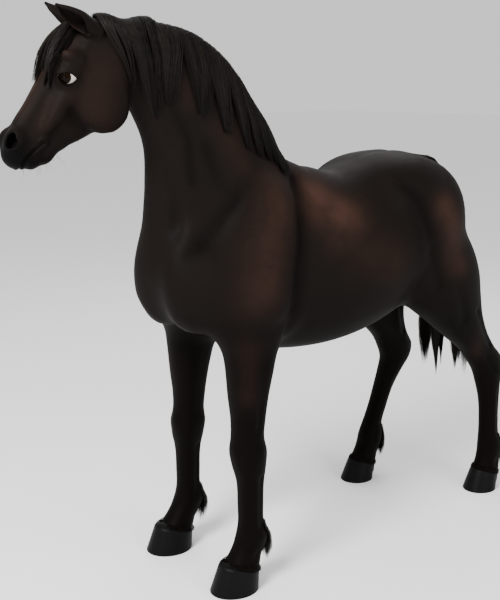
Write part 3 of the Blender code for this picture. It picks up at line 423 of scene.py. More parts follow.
# ---------------------------------------------------------------- hooves and eyes
HOOF_SIDES, HOOF_RINGS = 64, 34
HOOF_WALL_FROM, HOOF_EDGE_AT = 0.05, 0.02  # shares of the hoof's height
HOOF_RIDGE, HOOF_RIDGES, HOOF_RIDGES_FROM = 0.0012, 6, 0.03  # growth rings: rise, number, and lowest height
HOOF_INSET, HOOF_UNDER_SKIN = 0.012, 0.6
HOOF_ROUND, HOOF_ROUND_FROM, HOOF_ROUND_SPAN, HOOF_ROUND_POWER = 0.13, 0.85, 0.15, 2.5  # of its upper edge
SOLE_RING, TOP_RING = 0.45, 0.5  # sizes of the innermost rings of its two flat ends
EYE_SIDES, EYE_RINGS = 48, 33
CORNEA_RISE, CORNEA_ANGLE = 0.03, 0.65
IRIS_AHEAD = 20.0  # degrees

# ---------------------------------------------------------------- strands and tufts
MANE_SEED, FORELOCK_SEED, TAIL_SEED, TAIL_HEAD_SEED = 1, 11, 21, 81  # of the random draws
FEATHER_SEED, COAT_SEED, CORONET_SEED, WHISKER_SEED = 31, 41, 61, 71
PATCH = 0.003  # of each tuft on the OFBake map
HAIR_SOFTNESS, TUFT_SOFTNESS = 0.55, 0.92  # how far a strand is shaded as the flesh under it is
STRAND_ROWS, ROW_CROWDING, ROOT_DEPTH = 10, 1.25, 0.15
BLADE_ROOT, BLADE_SWELL, BLADE_RATE, BLADE_END = 0.55, 0.45, 1.2, 4  # a strand's width along its length
GATHER_POWER, GATHER_RATE = 1.3, 1.5  # how late, and how fast, strands are drawn to their clump
LOCK_POWER = 1.2  # how pointed a lock's end is
EAR_GAP, LEAST_LAYER = 0.15, 0.05  # clearance from the ears, and the lowest layer's share of the height

MANE_PIECES, MANE_STRANDS, MANE_ROOT_SPREAD, MANE_CLUMP, MANE_GATHER = 2, 3600, 0.9, 1.3, 0.3
MANE_UNEVEN, MANE_DRAWN_IN, MANE_NARROWS = 0.28, 0.97, 0.95  # how uneven, how narrow and how late a lock ends
MANE_LOOSE, MANE_LOOSE_LENGTH, MANE_LOOSE_LAYER = 0.12, 0.3, 0.4  # short hair's share, length and height
MANE_BLADE = (0.13, 0.07)  # half width and ridge of a strand
# The tail's strands are drawn lighter than the mane's, as painted light against the shade that the body casts
# on the tail.
MANE_SHADE, TAIL_SHADE = 0.3, (0.3, 1)  # how light the strands are, up to 1

FORELOCK_STRANDS, FORELOCK_SPREAD, FORELOCK_UNEVEN = 2000, 0.8, 0.2
FORELOCK_CLUMP, FORELOCK_GATHER = 0.5, 0.4

TAIL_PIECES, TAIL_STRANDS, TAIL_LOCKS, TAIL_STEPS = 2, 3300, 7, 65
TAIL_FROM, TAIL_FROM_POWER, TAIL_TO = 0.2, 1.2, 3.6  # where strands spring from, in rows of its table
TAIL_UNEVEN, TAIL_LEAST_LAYER, TAIL_AT_TOP = 0.4, 0.1, 0.75
TAIL_GATHER, TAIL_GATHER_POWER = 0.4, 1.5
TAIL_LOCK_SHARE, TAIL_LOCK_FROM, TAIL_LOCK_SPAN, TAIL_LOCK_AT = 0.85, 0.7, 0.3, 0.8
TAIL_WIDER, TAIL_SWEPT, TAIL_SWEPT_POWER = 1.3, 3.0, 5
TAIL_DROP, TAIL_DROP_POWER, TAIL_DROP_WAVE, TAIL_WAVES = 13.0, 3, 2, 3  # how far locks hang below the solid
TAIL_DROP_LEAST, TAIL_HANG = 0.75, 0.6
TAIL_BLADE = (0.16, 0.08)

TAIL_HEAD_STRANDS, TAIL_HEAD_FROM, TAIL_HEAD_CROWDING = 1300, (46, 60), 0.6
TAIL_HEAD = ((60, 143.5, 1.6), (66, 142.2, 2.2), (71.5, 136.5, 2.8), (75.5, 127.5, 3.4))  # y, top, half width
TAIL_HEAD_DEPTH, TAIL_HEAD_ROUND, TAIL_HEAD_AHEAD = 8.5, 0.7, 2
TAIL_HEAD_ROOTS = (0.3, 1.9)  # half width of its roots at the rear, and what they gain ahead
TAIL_HEAD_OVER = 150.0  # the height that its roots are let down from
TAIL_HEAD_FAN, TAIL_HEAD_STATIONS, TAIL_HEAD_UNEVEN = 0.9, (4.3, 5.3), 0.6
TAIL_HEAD_GROWN, TAIL_HEAD_SUNK = 1.05, 0.6  # its tips' distance from the tail's middle, at the top and below
TAIL_HEAD_MIDDLE = (0, 55.0, 118.0)

FEATHER_STRANDS, FEATHER_ROWS, FEATHER_FROM, FEATHER_BLADE = 1250, 7, (13.5, 23.5), (0.11, 0.05)
FEATHER_WIDER, FEATHER_AHEAD, FEATHER_ROUND = 1.15, 0.6, 1.8  # where its roots lie, from the leg's rear edge
FEATHER_LENGTH, FEATHER_LEAST, FEATHER_THIN = (4, 6.5), 0.1, 0.6
FEATHER_ARCH, FEATHER_OUT, FEATHER_IN, FEATHER_FALL = 0.55, 0.6, 1.2, 1.4
FEATHER_FACES, FEATHER_LOWEST = 0.6, 6.0

LASHES, LASH_FROM, LASH_TO, LASH_SPREAD, LASH_LENGTH = 34, -2.2, 2.6, 0.06, (0.9, 1.5)
LASH_ABOVE, LASH_BEFORE, LASH_LEAST = 0.1, 0.25, 0.1  # over the lid's edge, and before the eyeball
LASH_AHEAD, LASH_DOWN, LASH_FAN, LASH_CURL = 0.9, 0.35, 0.1, 0.5
WHISKERS, WHISKER_ROWS, WHISKER_BLADE = 70, 6, (0.025, 0.02)
WHISKER_BOX = (-4.2, -6.5, 39), (4.2, 1.5, 48)
WHISKER_LENGTH, WHISKER_DROOP = (1.5, 4.0), 0.35

CORONET_STRANDS, CORONET_ROWS, CORONET_BLADE, CORONET_BULGE = 900, 6, (0.09, 0.035), 0.12
CORONET_FROM, CORONET_OVER, CORONET_HANG = (0.3, 2.0), 0.3, 1.1  # heights over and below the rim
CORONET_ROOTS, CORONET_TIPS = 0.8, 1.01  # shares of the hoof's size

COAT_PIECES, COAT_TUFTS, TUFT_CROWDING = 2, 18000, 1.6
TUFT_BODY, TUFT_FACE, TUFT_LEG = 1.3, 0.45, 0.45  # length on the body and face, and what it loses on the legs
TUFT_LEG_BELOW, TUFT_LEG_FADE = 60, 30
TUFT_UNEVEN, TUFT_STRAY = (0.7, 1.2), 0.12
TUFT_AT, TUFT_RISE, TUFT_FORM = (0, 0.5, 1), (0.0, 0.8, 1.0), (0.8, 1.0, 0)  # rows, their heights and widths
TUFT_HALF, TUFT_RIDGE, TUFT_LIFT, TUFT_ROOT = 0.05, 0.6, 0.05, 0.04
TUFTS_ABOVE, TUFTS_BEHIND = 10, MUZZLE_FROM + 1
TUFT_GAPS = ((EYE_CENTRE, 3.4), (NOSTRIL_MIDDLE, 2.2), ((1.5, 0, 48), 3.0), ((3.5, 0, 44), 1.6))
BODY_LIE, LEG_LIE, NECK_LIE = (0, 1.0, -0.45), (0, 0.05, -1.0), (0, 0.6, -0.9)  # x, y, z
FACE_LIE = (0, -0.25, 1.0)  # side, up, along
LIE_FACE_FROM, LIE_FACE_FADE, LIE_NECK_FADE = 50, 8, 15  # stations on the neck
LIE_LEG_BELOW, LIE_LEG_FADE = 90, 15

# ---------------------------------------------------------------- colours, light and floor
# The tan is the colour of the painted highlights; the darkest colour is both the black of legs and lids and
# painted shade.
COAT_BASE, COAT_TAN_HIGHLIGHT, COAT_BLACK_AND_SHADE, COAT_TIP = "#110d0b", "#3c2821", "#060403", "#15100e"
MUZZLE_SKIN = "#060505"
HAIR_DARK, HAIR_LIGHT = "#060505", "#211d19"
HORN_DARK, HORN_LIGHT = "#080808", "#0f0f0f"
PUPIL, IRIS, SCLERA = "#010101", "#0f0602", "#b5aca5"
COAT_SHINE, HAIR_SHINE, HORN_SHINE, EYE_SHINE = 0.03, 0.05, 0.05, 0.05  # specular levels
SKIN_ROUGH, TUFT_ROUGH, HAIR_ROUGH, HORN_ROUGH, EYE_ROUGH, FLOOR_ROUGH = 0.55, 0.5, 0.4, 0.45, 0.06, 0.9
MILLIMETRES = 1000  # in the metre that Object coordinates count in
GRAIN_MM = (10 / 9, 20 / 7, 20 / 7)  # across, along and up
GRAIN_STRENGTH, GRAIN_DEPTH = 0.35, 0.0012  # the depth is in metres
PATCHES_MM = 500 / 3  # about two hands' breadths, the size of the uneven patches that break up the painted highlights
PATCHES_FROM, PATCHES_TO = 0.1, 0.7  # levels of unevenness at which the tan is off and full
GROWTH_MM = (500 / 3, 500 / 3, 6.25)  # a band of horn is about as high as a month's growth
NOISE_DETAIL = 4.0  # rounds of finer patches, each half the size of the last
TUFT_TIPS = 2.5  # the lightest tuft has this part of the tips' colour in it: 1 / 2.5
PUPIL_LEVEL, PUPIL_EDGE, IRIS_EDGE = 1.9, (0.26, 0.34), (0.6, 0.66)  # shares of the eye's radius
MIX_SHARE, MIX_UNDER, MIX_OVER, MIX_COLOUR = 0, 6, 7, 2  # sockets of a mix of colours
FLOOR_COLOUR, FLOOR_HALF = "#f8f8f8", 40
WORLD_COLOUR, WORLD_STRENGTH = "#ffffff", 0.95
LIGHTS_AIM = (0, 0, 1.1)  # the middle of the horse, in metres
LIGHTS = (  # name, place and size in metres, power in watts
    ("key", (1.2, -4.2, 4.6), 2.2, 560),
    ("fill", (5.0, 0.5, 2.5), 3.0, 120),
    ("rim", (-2.5, 3.0, 4.2), 2.5, 60),
)


# ---------------------------------------------------------------- forms of flesh
def share(amount, whole):
    """How much of the whole the amount makes up, from 0 to 1."""
    return np.clip(amount / whole, 0, 1)


def cubic_shares(t):
    """Shares of a cubic curve's two ends and of the slopes at them, at t of the way: 2t^3 - 3t^2 + 1,
    3t^2 - 2t^3, t^3 - 2t^2 + t and t^3 - t^2."""
    return 2 * t**3 - 3 * t**2 + 1, 3 * t**2 - 2 * t**3, t**3 - 2 * t**2 + t, t**3 - t**2


class Form:
    """One mass of flesh: a loft along a straight axis, closed by rounded caps. Each section is the curve
    where |side / half width| ^ power + |up / rim| ^ power is 1, and its sizes run on cubic curves through
    the rows."""

    def __init__(self, origin, turn, rows, caps, blend, power=2.0, waist=0.5):
        self.origin = np.array(origin, float)
        self.turn = np.array(turn, float)
        self.rows = np.array([(*row, 0.0)[:5] for row in rows], float)
        self.caps = caps
        self.blend = blend
        self.power = power
        self.waist = waist

    def section(self, along):
        """low, high, half width and side at these stations."""
        at, values = self.rows[:, 0], self.rows[:, 1:]
        if len(at) == 1:
            return np.repeat(values, len(along), axis=0).T
        slope = np.gradient(values, at, axis=0)
        i = np.clip(np.searchsorted(at, along) - 1, 0, len(at) - 2)
        span = (at[i + 1] - at[i])[:, None]
        start, end, leaving, arriving = cubic_shares(share((along - at[i])[:, None], span))
        ends = values[i] * start + values[i + 1] * end
        bends = slope[i] * leaving + slope[i + 1] * arriving
        return (ends + bends * span).T

    def reach(self, points):
        """How far each point is outside the form, along the line from its middle; negative inside."""
        side, up, along = ((points - self.origin) @ self.turn).T
        on = np.clip(along, self.rows[0, 0], self.rows[-1, 0])
        past = along - on
        low, high, half, centre = self.section(on)
        middle = low + (high - low) * self.waist
        u, v = side - centre, up - middle
        rim = np.where(v > 0, high - middle, middle - low)
        cap = np.where(past < 0, self.caps[0], self.caps[1])
        ring = (np.abs(u) / half) ** self.power + (np.abs(v) / rim) ** self.power
        norm = np.sqrt(ring ** (2 / self.power) + (past / cap) ** 2)
        return np.sqrt(u * u + v * v + past * past) * (1 - 1 / np.maximum(norm, LEAST_NORM))

    def box(self):
        """Lowest and highest corner of all that the form can reach."""
        at, low, high, half, side = self.rows.T
        spans = (
            ((side - half).min(), (side + half).max()),
            (low.min(), high.max()),
            (at[0] - self.caps[0], at[-1] + self.caps[1]),
        )
        corners = [(u, v, w) for u in spans[0] for v in spans[1] for w in spans[2]]
        world = np.array(corners) @ self.turn.T + self.origin
        margin = self.blend + BOX_MARGIN
        return world.min(0) - margin, world.max(0) + margin


def unit(vectors):
    """The vectors, each with a length of 1."""
    return vectors / np.maximum(np.linalg.norm(vectors, axis=-1, keepdims=True), LEAST_LENGTH)


def axes_of(slope, turn):
    """Columns side, up and along. Along runs ahead (-Y) and dips by slope degrees, side is to the left,
    and all is turned to the horse's right by turn degrees."""
    s, t = math.radians(slope), math.radians(turn)
    ahead, above = np.array([-math.sin(t), -math.cos(t), 0]), np.array([0, 0, 1.0])
    along = ahead * math.cos(s) - above * math.sin(s)
    up = ahead * math.sin(s) + above * math.cos(s)
    return np.stack([np.cross(up, along), up, along], axis=1)


LENGTHWAYS = np.array([[1, 0, 0], [0, 0, 1], [0, 1, 0]]).T  # side X, up Z, along Y
UPRIGHT = np.eye(3)  # side X, up Y (to the rear), along Z
NECK = axes_of(-NECK_RISE, NECK_TURN)
HEAD = axes_of(HEAD_SLOPE, HEAD_TURN)
POLL = np.array(NECK_ROOT) + NECK @ POLL_ON_NECK


def on_head(place, side=LEFT):
    """A place given in the head's frame for the left side, for either side."""
    return POLL + HEAD @ np.multiply(place, (side, 1, 1))


def in_head(points):
    """side, up and along of the points in the head's frame."""
    return ((points - POLL) @ HEAD).T


def in_neck(points):
    """side, up and along of the points in the neck's frame."""
    return ((points - NECK_ROOT) @ NECK).T


def lump(middle, turn, radii, blend):
    """An ellipsoid with these radii across, up and along."""
    across, up, along = radii
    return Form(middle, turn, [(0, -up, up, across)], (along, along), blend)


def melt(a, b, radius):
    """The union of two fields, with a fillet where they meet: the lesser of the two, less a quarter of the
    radius times the square of 1 - |a - b| / radius."""
    h = np.maximum(radius - np.abs(a - b), 0) / radius
    return np.minimum(a, b) - h * h * radius / 4


def field(points, forms, hollows=()):
    """The melted union of the forms, less the hollows, at each point; negative inside."""
    total = np.full(len(points), FAR)
    for group, sign in ((forms, 1), (hollows, -1)):
        for form in group:
            low, high = form.box()
            near = ((points > low) & (points < high)).all(1)
            total[near] = sign * melt(sign * total[near], form.reach(points[near]), form.blend)
    return total


# ---------------------------------------------------------------- what stands, in the tables' own axes
def body_forms():
    """Barrel, withers, breast, shoulders, croup, neck and head."""
    forms = [
        Form((0, 0, 0), LENGTHWAYS, BARREL, BARREL_CAPS, BARREL_BLEND, BARREL_POWER, BARREL_WAIST),
        Form((0, 0, 0), LENGTHWAYS, WITHERS, WITHERS_CAPS, WITHERS_BLEND),
    ]
    for side in SIDES:
        for centre, radii, blend in TRUNK_LUMPS:
            forms.append(lump(np.multiply(centre, (side, 1, 1)), LENGTHWAYS, radii, blend))
    forms.append(neck_form())
    forms.append(Form(POLL, HEAD, SKULL_ROWS, SKULL_CAPS, SKULL_BLEND, SKULL_POWER))
    for side in SIDES:
        forms += [lump(on_head(centre, side), HEAD, radii, blend) for centre, radii, blend in HEAD_PAIRS]
    return forms + [lump(on_head(centre), HEAD, radii, blend) for centre, radii, blend in HEAD_SINGLES]


def neck_form():
    """The arched neck, deepest at its root."""
    return Form(NECK_ROOT, NECK, NECK_ROWS, NECK_CAPS, NECK_BLEND, 2.0, NECK_WAIST)


def leg_rows(leg, side):
    """The rows of one leg in its pose, from its top down to below the floor of its hoof."""
    shifts, spread = STEPS[leg, side]
    rows = []
    for z, front, rear, half, out in LEG_ROWS[leg]:
        shift = float(np.interp(z, STEP_HEIGHTS, shifts))
        wide = float(np.interp(z, SPREAD_HEIGHTS, (spread, 0)))
        rows.append((z, front + shift, rear + shift, half, side * (out + wide)))
    return rows[::-1]


def leg_forms():
    """All four legs, from inside the trunk down into the hooves."""
    return [Form((0, 0, 0), UPRIGHT, leg_rows(*step), LEG_CAPS, LEG_BLEND, LEG_POWER) for step in STEPS]


def foot(leg, side):
    """Middle of a pastern where it meets the hoof (x, y), and the coronet's mean height."""
    _, _, toe_height, heel_height, _ = HOOVES[leg]
    height = (toe_height + heel_height) / 2
    z, low, high, _, out = np.array(leg_rows(leg, side)).T
    return np.interp(height, z, out), np.interp(height, z, (low + high) / 2), height


def coronet(leg, side, y):
    """Height of the coronet's plane at y."""
    _, half_length, toe_height, heel_height, _ = HOOVES[leg]
    _, middle, height = foot(leg, side)
    return height + (y - middle) * (heel_height - toe_height) / (2 * half_length * CORONET_SHARE)


def eye_frame(side):
    """Axes of an eye: along its opening to the front, up across it, and its gaze."""
    gaze = unit(np.multiply(EYE_GAZE, (side, 1, 1)))
    level = unit(EYE_LEVEL - gaze * (gaze @ EYE_LEVEL))
    return HEAD @ np.stack([level, side * np.cross(gaze, level), gaze], 1)


def ear_frame(side):
    """Axes of an ear: its side, where it opens to, and its length."""
    out, lean, opening = math.radians(EAR_OUT[side]), math.radians(EAR_LEAN[side]), math.radians(EAR_OPENING)
    along = unit(np.array([side * math.sin(out), math.cos(out), math.sin(lean)]))
    faces_to = np.array([side * math.sin(opening), 0, math.cos(opening)])
    faces_to = unit(faces_to - along * (along @ faces_to))
    return HEAD @ np.stack([np.cross(faces_to, along), faces_to, along], 1)


def ear_form(side, rows, blend):
    """An ear, or the hollow in it, as a loft along the ear's length."""
    return Form(on_head(EAR_ROOT, side), ear_frame(side), rows, EAR_CAPS, blend)


# ---------------------------------------------------------------- skinning the field
def net_over(value_at, low, high, step):
    """Points and quads of the surface where the field is 0: in each cell that it crosses, a point at the
    mean of the crossings on its edges, and round each crossed edge, a quad. The field is read on a coarse
    grid first, and finely only near the surface."""
    cells = [int(math.ceil((b - a) / (step * COARSE))) for a, b in zip(low, high)]
    coarse = [a + step * COARSE * (np.arange(n) + 0.5) for a, n in zip(low, cells)]
    rough = value_at(np.stack(np.meshgrid(*coarse, indexing="ij"), -1).reshape(-1, 3)).reshape(cells)
    axes = [a + step * np.arange(COARSE * n) for a, n in zip(low, cells)]
    value = rough
    for axis in range(3):
        value = np.repeat(value, COARSE, axis)
    shape = value.shape
    value = value.reshape(-1)
    near = np.nonzero(np.abs(value) < NEAR_CELLS * COARSE * step)[0]
    places = np.stack([axis[i] for axis, i in zip(axes, np.unravel_index(near, shape))], 1)
    value[near] = value_at(places)
    value = value.reshape(shape)
    spots, rings = [], []
    for axis in range(3):
        here = [slice(None)] * 3
        there = [slice(None)] * 3
        here[axis], there[axis] = slice(0, -1), slice(1, None)
        a, b = value[tuple(here)], value[tuple(there)]
        where = np.stack(np.nonzero((a < 0) != (b < 0)), 1)
        a, b = a[tuple(where.T)], b[tuple(where.T)]
        second, third = (axis + 1) % 3, (axis + 2) % 3
        inner = (where[:, second] > 0) & (where[:, third] > 0)
        where, a, b = where[inner], a[inner], b[inner]
        spot = where.astype(float)
        spot[:, axis] += a / (a - b)
        ring = []
        for back, down in ((1, 1), (0, 1), (0, 0), (1, 0)):
            cell = where.copy()
            cell[:, second] -= back
            cell[:, third] -= down
            ring.append(np.ravel_multi_index(tuple(cell.T), shape))
        ring = np.stack(ring, 1)
        ring[a >= 0] = ring[a >= 0][:, ::-1]
        rings.append(ring)
        spots.append(np.repeat(spot, 4, axis=0))
    rings, spots = np.concatenate(rings), np.concatenate(spots)
    _, quads = np.unique(rings, return_inverse=True)
    quads = quads.reshape(-1)
    count = np.bincount(quads)
    points = np.stack([np.bincount(quads, spots[:, i]) / count for i in range(3)], 1)
    return points * step + [a[0] for a in axes], quads.reshape(-1, 4)


def slope_at(points, value_at, step=SLOPE_STEP):
    """The field's gradient at the points."""
    sides = [value_at(points + d) - value_at(points - d) for d in np.eye(3) * step]
    return np.stack(sides, 1) / (2 * step)


def settled(points, value_at, rounds, level=0.0, step=SLOPE_STEP):
    """The points moved along the field's slope to where it has this level."""
    for _ in range(rounds):
        slope = slope_at(points, value_at, step)
        size = np.maximum((slope**2).sum(1, keepdims=True), LEAST_SLOPE)
        move = (value_at(points) - level)[:, None] * slope / size
        points = points - np.clip(move, -LONGEST_MOVE, LONGEST_MOVE)
    return points


def draped(value_at, roots, pulls, lengths):
    """Lines laid down the body from the roots, as (row, line, xyz), each as long as its length. In each row
    they are drawn along that row's pull as far as the surface lets them."""
    lines = [roots]
    for pull in pulls:
        normal = unit(slope_at(lines[-1], value_at))
        ahead = unit(pull - normal * (pull * normal).sum(1, keepdims=True))
        lines.append(settled(lines[-1] + ahead * lengths[:, None] / len(pulls), value_at, rounds=2))
    return np.array(lines)


# ---------------------------------------------------------------- the skin
def flesh_forms():
    """Everything that the skin covers but the ears."""
    return body_forms() + leg_forms()


def skin_forms():
    """Everything that the skin covers."""
    return flesh_forms() + [ear_form(side, EAR_ROWS, EAR_BLEND) for side in SIDES]


def skin_hollows():
    """The insides of the ears and the nostrils."""
    hollows = [ear_form(side, EAR_HOLLOW, EAR_HOLLOW_BLEND) for side in SIDES]
    for side in SIDES:
        hollows += [lump(on_head(centre, side), HEAD, radii, blend) for centre, radii, blend in NOSTRILS]
    return hollows


def lid_lines(along):
    """Heights of the edges of the upper and the lower lid at these places along the opening: each falls
    off from its middle by a power of the distance, and reaches 0 at the corners."""
    part = np.clip(np.abs(along - LID_MIDDLE) / LID_HALF, 0, LID_PAST)
    return LID_UPPER * (1 - part**LID_UPPER_POWER), -LID_LOWER * (1 - part**2)


def lid_edge(points, side):
    """How far each point is outside the opening between the lids, and how far ahead of the eye's middle."""
    along, up, gaze = ((points - on_head(EYE_CENTRE, side)) @ eye_frame(side)).T
    upper, lower = lid_lines(along)
    far = np.maximum(np.abs(along) - EYE_BESIDE, 0)
    return np.maximum(up - upper, lower - up) + far, np.where(np.hypot(along, up) < EYE_FIELD, gaze, -1.0)


def lids(points, value, side):
    """The value with the opening between the lids cut out of it, down to the eyeball, and a crease above
    it."""
    along, up, gaze = ((points - on_head(EYE_CENTRE, side)) @ eye_frame(side)).T
    upper, lower = lid_lines(along)
    distance = np.linalg.norm(points - on_head(EYE_CENTRE, side), axis=1)
    opening = np.maximum(np.maximum(up - upper, lower - up), EYE_RADIUS - LID_FLOOR - distance)
    opening = np.where(gaze > 0, opening, FAR)
    opened = -melt(-value, opening, LID_ROUND)
    near = np.exp(-((along / CREASE_REACH) ** CREASE_POWER)) * (gaze > 0) * (distance < LID_REGION)
    crease = CREASE_DEPTH * np.exp(-(((up - upper - CREASE_ABOVE) / CREASE_HALF) ** 2))
    bag = BAG_SHARE * CREASE_DEPTH * np.exp(-(((up - lower + CREASE_ABOVE) / CREASE_HALF) ** 2))
    return opened + near * (crease + bag) * (opening > 0)


def detailed(points, forms, hollows):
    """The field with the lids and the mouth worked into it."""
    value = field(points, forms, hollows)
    for side in SIDES:
        near = np.linalg.norm(points - on_head(EYE_CENTRE, side), axis=1) < EYE_REGION
        if near.any():
            value[near] = lids(points[near], value[near], side)
    near = np.linalg.norm(points - on_head(MOUTH_MIDDLE), axis=1) < MOUTH_REGION
    if near.any():
        value[near] = mouth(points[near], value[near])
    return value


def mouth(points, value):
    """The value with the mouth's slit and the folds about it: bell curves of the distance from the line
    between the lips, from a line beside it, and from an arc behind its corner."""
    _, up, along = in_head(points)
    line = np.interp(along, *np.array(MOUTH_LINE).T)
    back = MOUTH_LINE[0][0]
    past = np.maximum(back - along, 0)
    off = np.hypot(up - line, past)
    slit = MOUTH_DEPTH * np.exp(-((off / MOUTH_HALF) ** 2))
    lips = -LIP_BULGE * np.exp(-(((off - LIP_AWAY) / LIP_HALF) ** 2))
    corner = np.hypot(up - line, along - back) - FOLD_AWAY
    fold = -FOLD_BULGE * np.exp(-((corner / LIP_HALF) ** 2)) * (along < back + FOLD_PAST)
    return value + slit + lips + fold


def new_mesh(name, points, faces):
    """A mesh of these points and faces, which are arrays of quads or of triangles, shaded smooth."""
    data = bpy.data.meshes.new(name)
    corners = np.concatenate([group.reshape(-1) for group in faces]).astype(np.int32)
    sizes = np.concatenate([np.full(len(group), group.shape[1]) for group in faces])
    data.vertices.add(len(points))
    data.vertices.foreach_set("co", np.asarray(points, np.float32).reshape(-1))
    data.loops.add(len(corners))
    data.loops.foreach_set("vertex_index", corners)
    data.polygons.add(len(sizes))
    data.polygons.foreach_set("loop_start", np.concatenate([[0], np.cumsum(sizes)[:-1]]).astype(np.int32))
    data.polygons.foreach_set("use_smooth", np.ones(len(sizes), bool))
    data.update(calc_edges=True)
    data.validate()
    return data


def add_piece(name, data, finish, replaced=()):
    """Puts the mesh in the scene as a piece of the horse that stands for these nodes."""
    piece = bpy.data.objects.new(name, data)
    bpy.context.scene.collection.objects.link(piece)
    data.materials.append(finish)
    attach(piece, "root")
    if replaced:
        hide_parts(*replaced)
    return piece


def points_of(data):
    """The mesh's points as an array."""
    found = np.empty(len(data.vertices) * 3, np.float32)
    data.vertices.foreach_get("co", found)
    return found.reshape(-1, 3).astype(float)


def set_points(data, points):
    """Moves the mesh's points to these places."""
    data.vertices.foreach_set("co", np.asarray(points, np.float32).reshape(-1))
    data.update()


def add_attribute(data, name, values):
    """Keeps a number or a vector for each of the mesh's points, for its material to read."""
    kind, key = ("FLOAT", "value") if values.ndim == 1 else ("FLOAT_VECTOR", "vector")
    made = data.attributes.new(name, kind, "POINT")
    made.data.foreach_set(key, np.asarray(values, np.float32).reshape(-1))


def cut(data, place, normal):
    """The mesh without what lies beyond the plane."""
    shape = bmesh.new()
    shape.from_mesh(data)
    everything = [*shape.verts, *shape.edges, *shape.faces]
    plane = {"plane_co": place, "plane_no": normal}
    bmesh.ops.bisect_plane(shape, geom=everything, dist=CUT_MERGE, clear_outer=True, **plane)
    rim = [vert for vert in shape.verts if vert.is_boundary]
    bmesh.ops.remove_doubles(shape, verts=rim, dist=RIM_MERGE)
    shape.to_mesh(data)
    shape.free()


def bridged(body, head):
    """One mesh of the two, with a band of faces between their open rims."""
    shape = bmesh.new()
    shape.from_mesh(body)
    shape.from_mesh(head)
    bmesh.ops.bridge_loops(shape, edges=[edge for edge in shape.edges if edge.is_boundary])
    shape.to_mesh(body)
    shape.free()


def subdivided(data, chosen_at):
    """Splits the edges between the points that the test picks."""
    shape = bmesh.new()
    shape.from_mesh(data)
    chosen = chosen_at(points_of(data))
    edges = [edge for edge in shape.edges if chosen[edge.verts[0].index] and chosen[edge.verts[1].index]]
    bmesh.ops.subdivide_edges(shape, edges=edges, cuts=1, use_grid_fill=True)
    shape.to_mesh(data)
    shape.free()


def fine_places(points):
    """Where the skin has folds too small for the head's own net."""
    chosen = np.zeros(len(points), bool)
    for centre, radius in FINE_PLACES:
        for side in SIDES:
            chosen |= np.linalg.norm(points - on_head(centre, side), axis=1) < radius
    return chosen


def build_skin(finish):
    """One skin over all the flesh: a coarse net and a fine one for the head, joined round the neck, laid
    on the detailed field and drawn in by the depth of the coat."""
    forms, hollows = skin_forms(), skin_hollows()

    def value_at(points):
        """The skin's field."""
        return detailed(points, forms, hollows)

    nets = []
    for name, low, high, step in (("body", *BODY_BOX, BODY_STEP), ("head", *HEAD_BOX, HEAD_STEP)):
        points, quads = net_over(value_at, np.array(low), np.array(high), step)
        nets.append(new_mesh(name, points, [quads]))
    body, head = nets
    normal = NECK[:, 2]
    cut(body, NECK_ROOT + normal * JOIN[0], normal)
    cut(head, NECK_ROOT + normal * JOIN[1], -normal)
    bridged(body, head)
    subdivided(body, fine_legs)
    subdivided(body, fine_places)
    points = settled(points_of(body), value_at, rounds=2)
    for step in FINE_SLOPE_STEPS:
        fine = fine_places(points)
        points[fine] = settled(points[fine], value_at, rounds=2, step=step)
    points = settled(points, value_at, rounds=1)
    slope = unit(slope_at(points, value_at))
    points = points - slope * (coat_depth(points) + relief(points))[:, None]
    set_points(body, to_row(points))
    for name, values in markings_and_painted_light(points).items():
        add_attribute(body, name, values)
    nodes = ["trunk", "neck", "head", "ear_left", "ear_right"]
    for leg, side in STEPS:
        for half in ("upper", "lower"):
            nodes.append(f"{name_of(leg, side)}_{half}")
    return add_piece("skin", body, finish, nodes)


def distance_to_line(points, line):
    """Distance from each point to a bent line."""
    best = np.full(len(points), FAR)
    for start, end in zip(line[:-1], line[1:]):
        run = end - start
        at = share((points - start) @ run, run @ run)
        best = np.minimum(best, np.linalg.norm(points - start - at[:, None] * run, axis=1))
    return best


def on_leg(leg, side, z, out, back):
    """A place on a leg at this height: out is 1 on its outer side and -1 on its inner, back is 1 at its
    rear."""
    height, low, high, half, middle = np.array(leg_rows(leg, side)).T
    low, high, half, middle = (np.interp(z, height, values) for values in (low, high, half, middle))
    return (middle + side * out * half, (low + high) / 2 + back * (high - low) / 2, z)


def relief_lines():
    """(line, half width, depth) of each groove, or ridge where the depth is negative, on both sides."""
    found = []
    for side in SIDES:
        for line, half, depth in TRUNK_RELIEF:
            found.append((np.multiply(line, (side, 1, 1)), half, depth))
        for line, half, depth in NECK_RELIEF:
            found.append((np.multiply(line, (side, 1, 1)) @ NECK.T + NECK_ROOT, half, depth))
        for line, half, depth in HEAD_RELIEF:
            found.append((np.array([on_head(place, side) for place in line]), half, depth))
    for leg, side in STEPS:
        for line, half, depth in LEG_RELIEF[leg]:
            found.append((np.array([on_leg(leg, side, *place) for place in line]), half, depth))
    return found


def relief(points):
    """How far the skin sinks in at each point: each groove and ridge adds its depth times a bell curve of
    the distance from its line."""
    depth = np.zeros(len(points))
    for line, half, deep in relief_lines():
        reach = RELIEF_REACH * half
        near = ((points > line.min(0) - reach) & (points < line.max(0) + reach)).all(1)
        depth[near] += deep * np.exp(-((distance_to_line(points[near], line) / half) ** 2))
    return depth


def fine_legs(points):
    """Where the legs are thin enough to need a finer net."""
    return points[:, 2] < FINE_BELOW


def on_face(points):
    """1 on the head, 0 on the body, and a share of 1 along the neck's upper end."""
    _, _, neck_along = in_neck(points)
    return share(neck_along - FACE_FROM, FACE_FADE)


def coat_depth(points):
    """How far the skin lies under the tips of the coat."""
    return BODY_COAT + (FACE_COAT - BODY_COAT) * on_face(points)


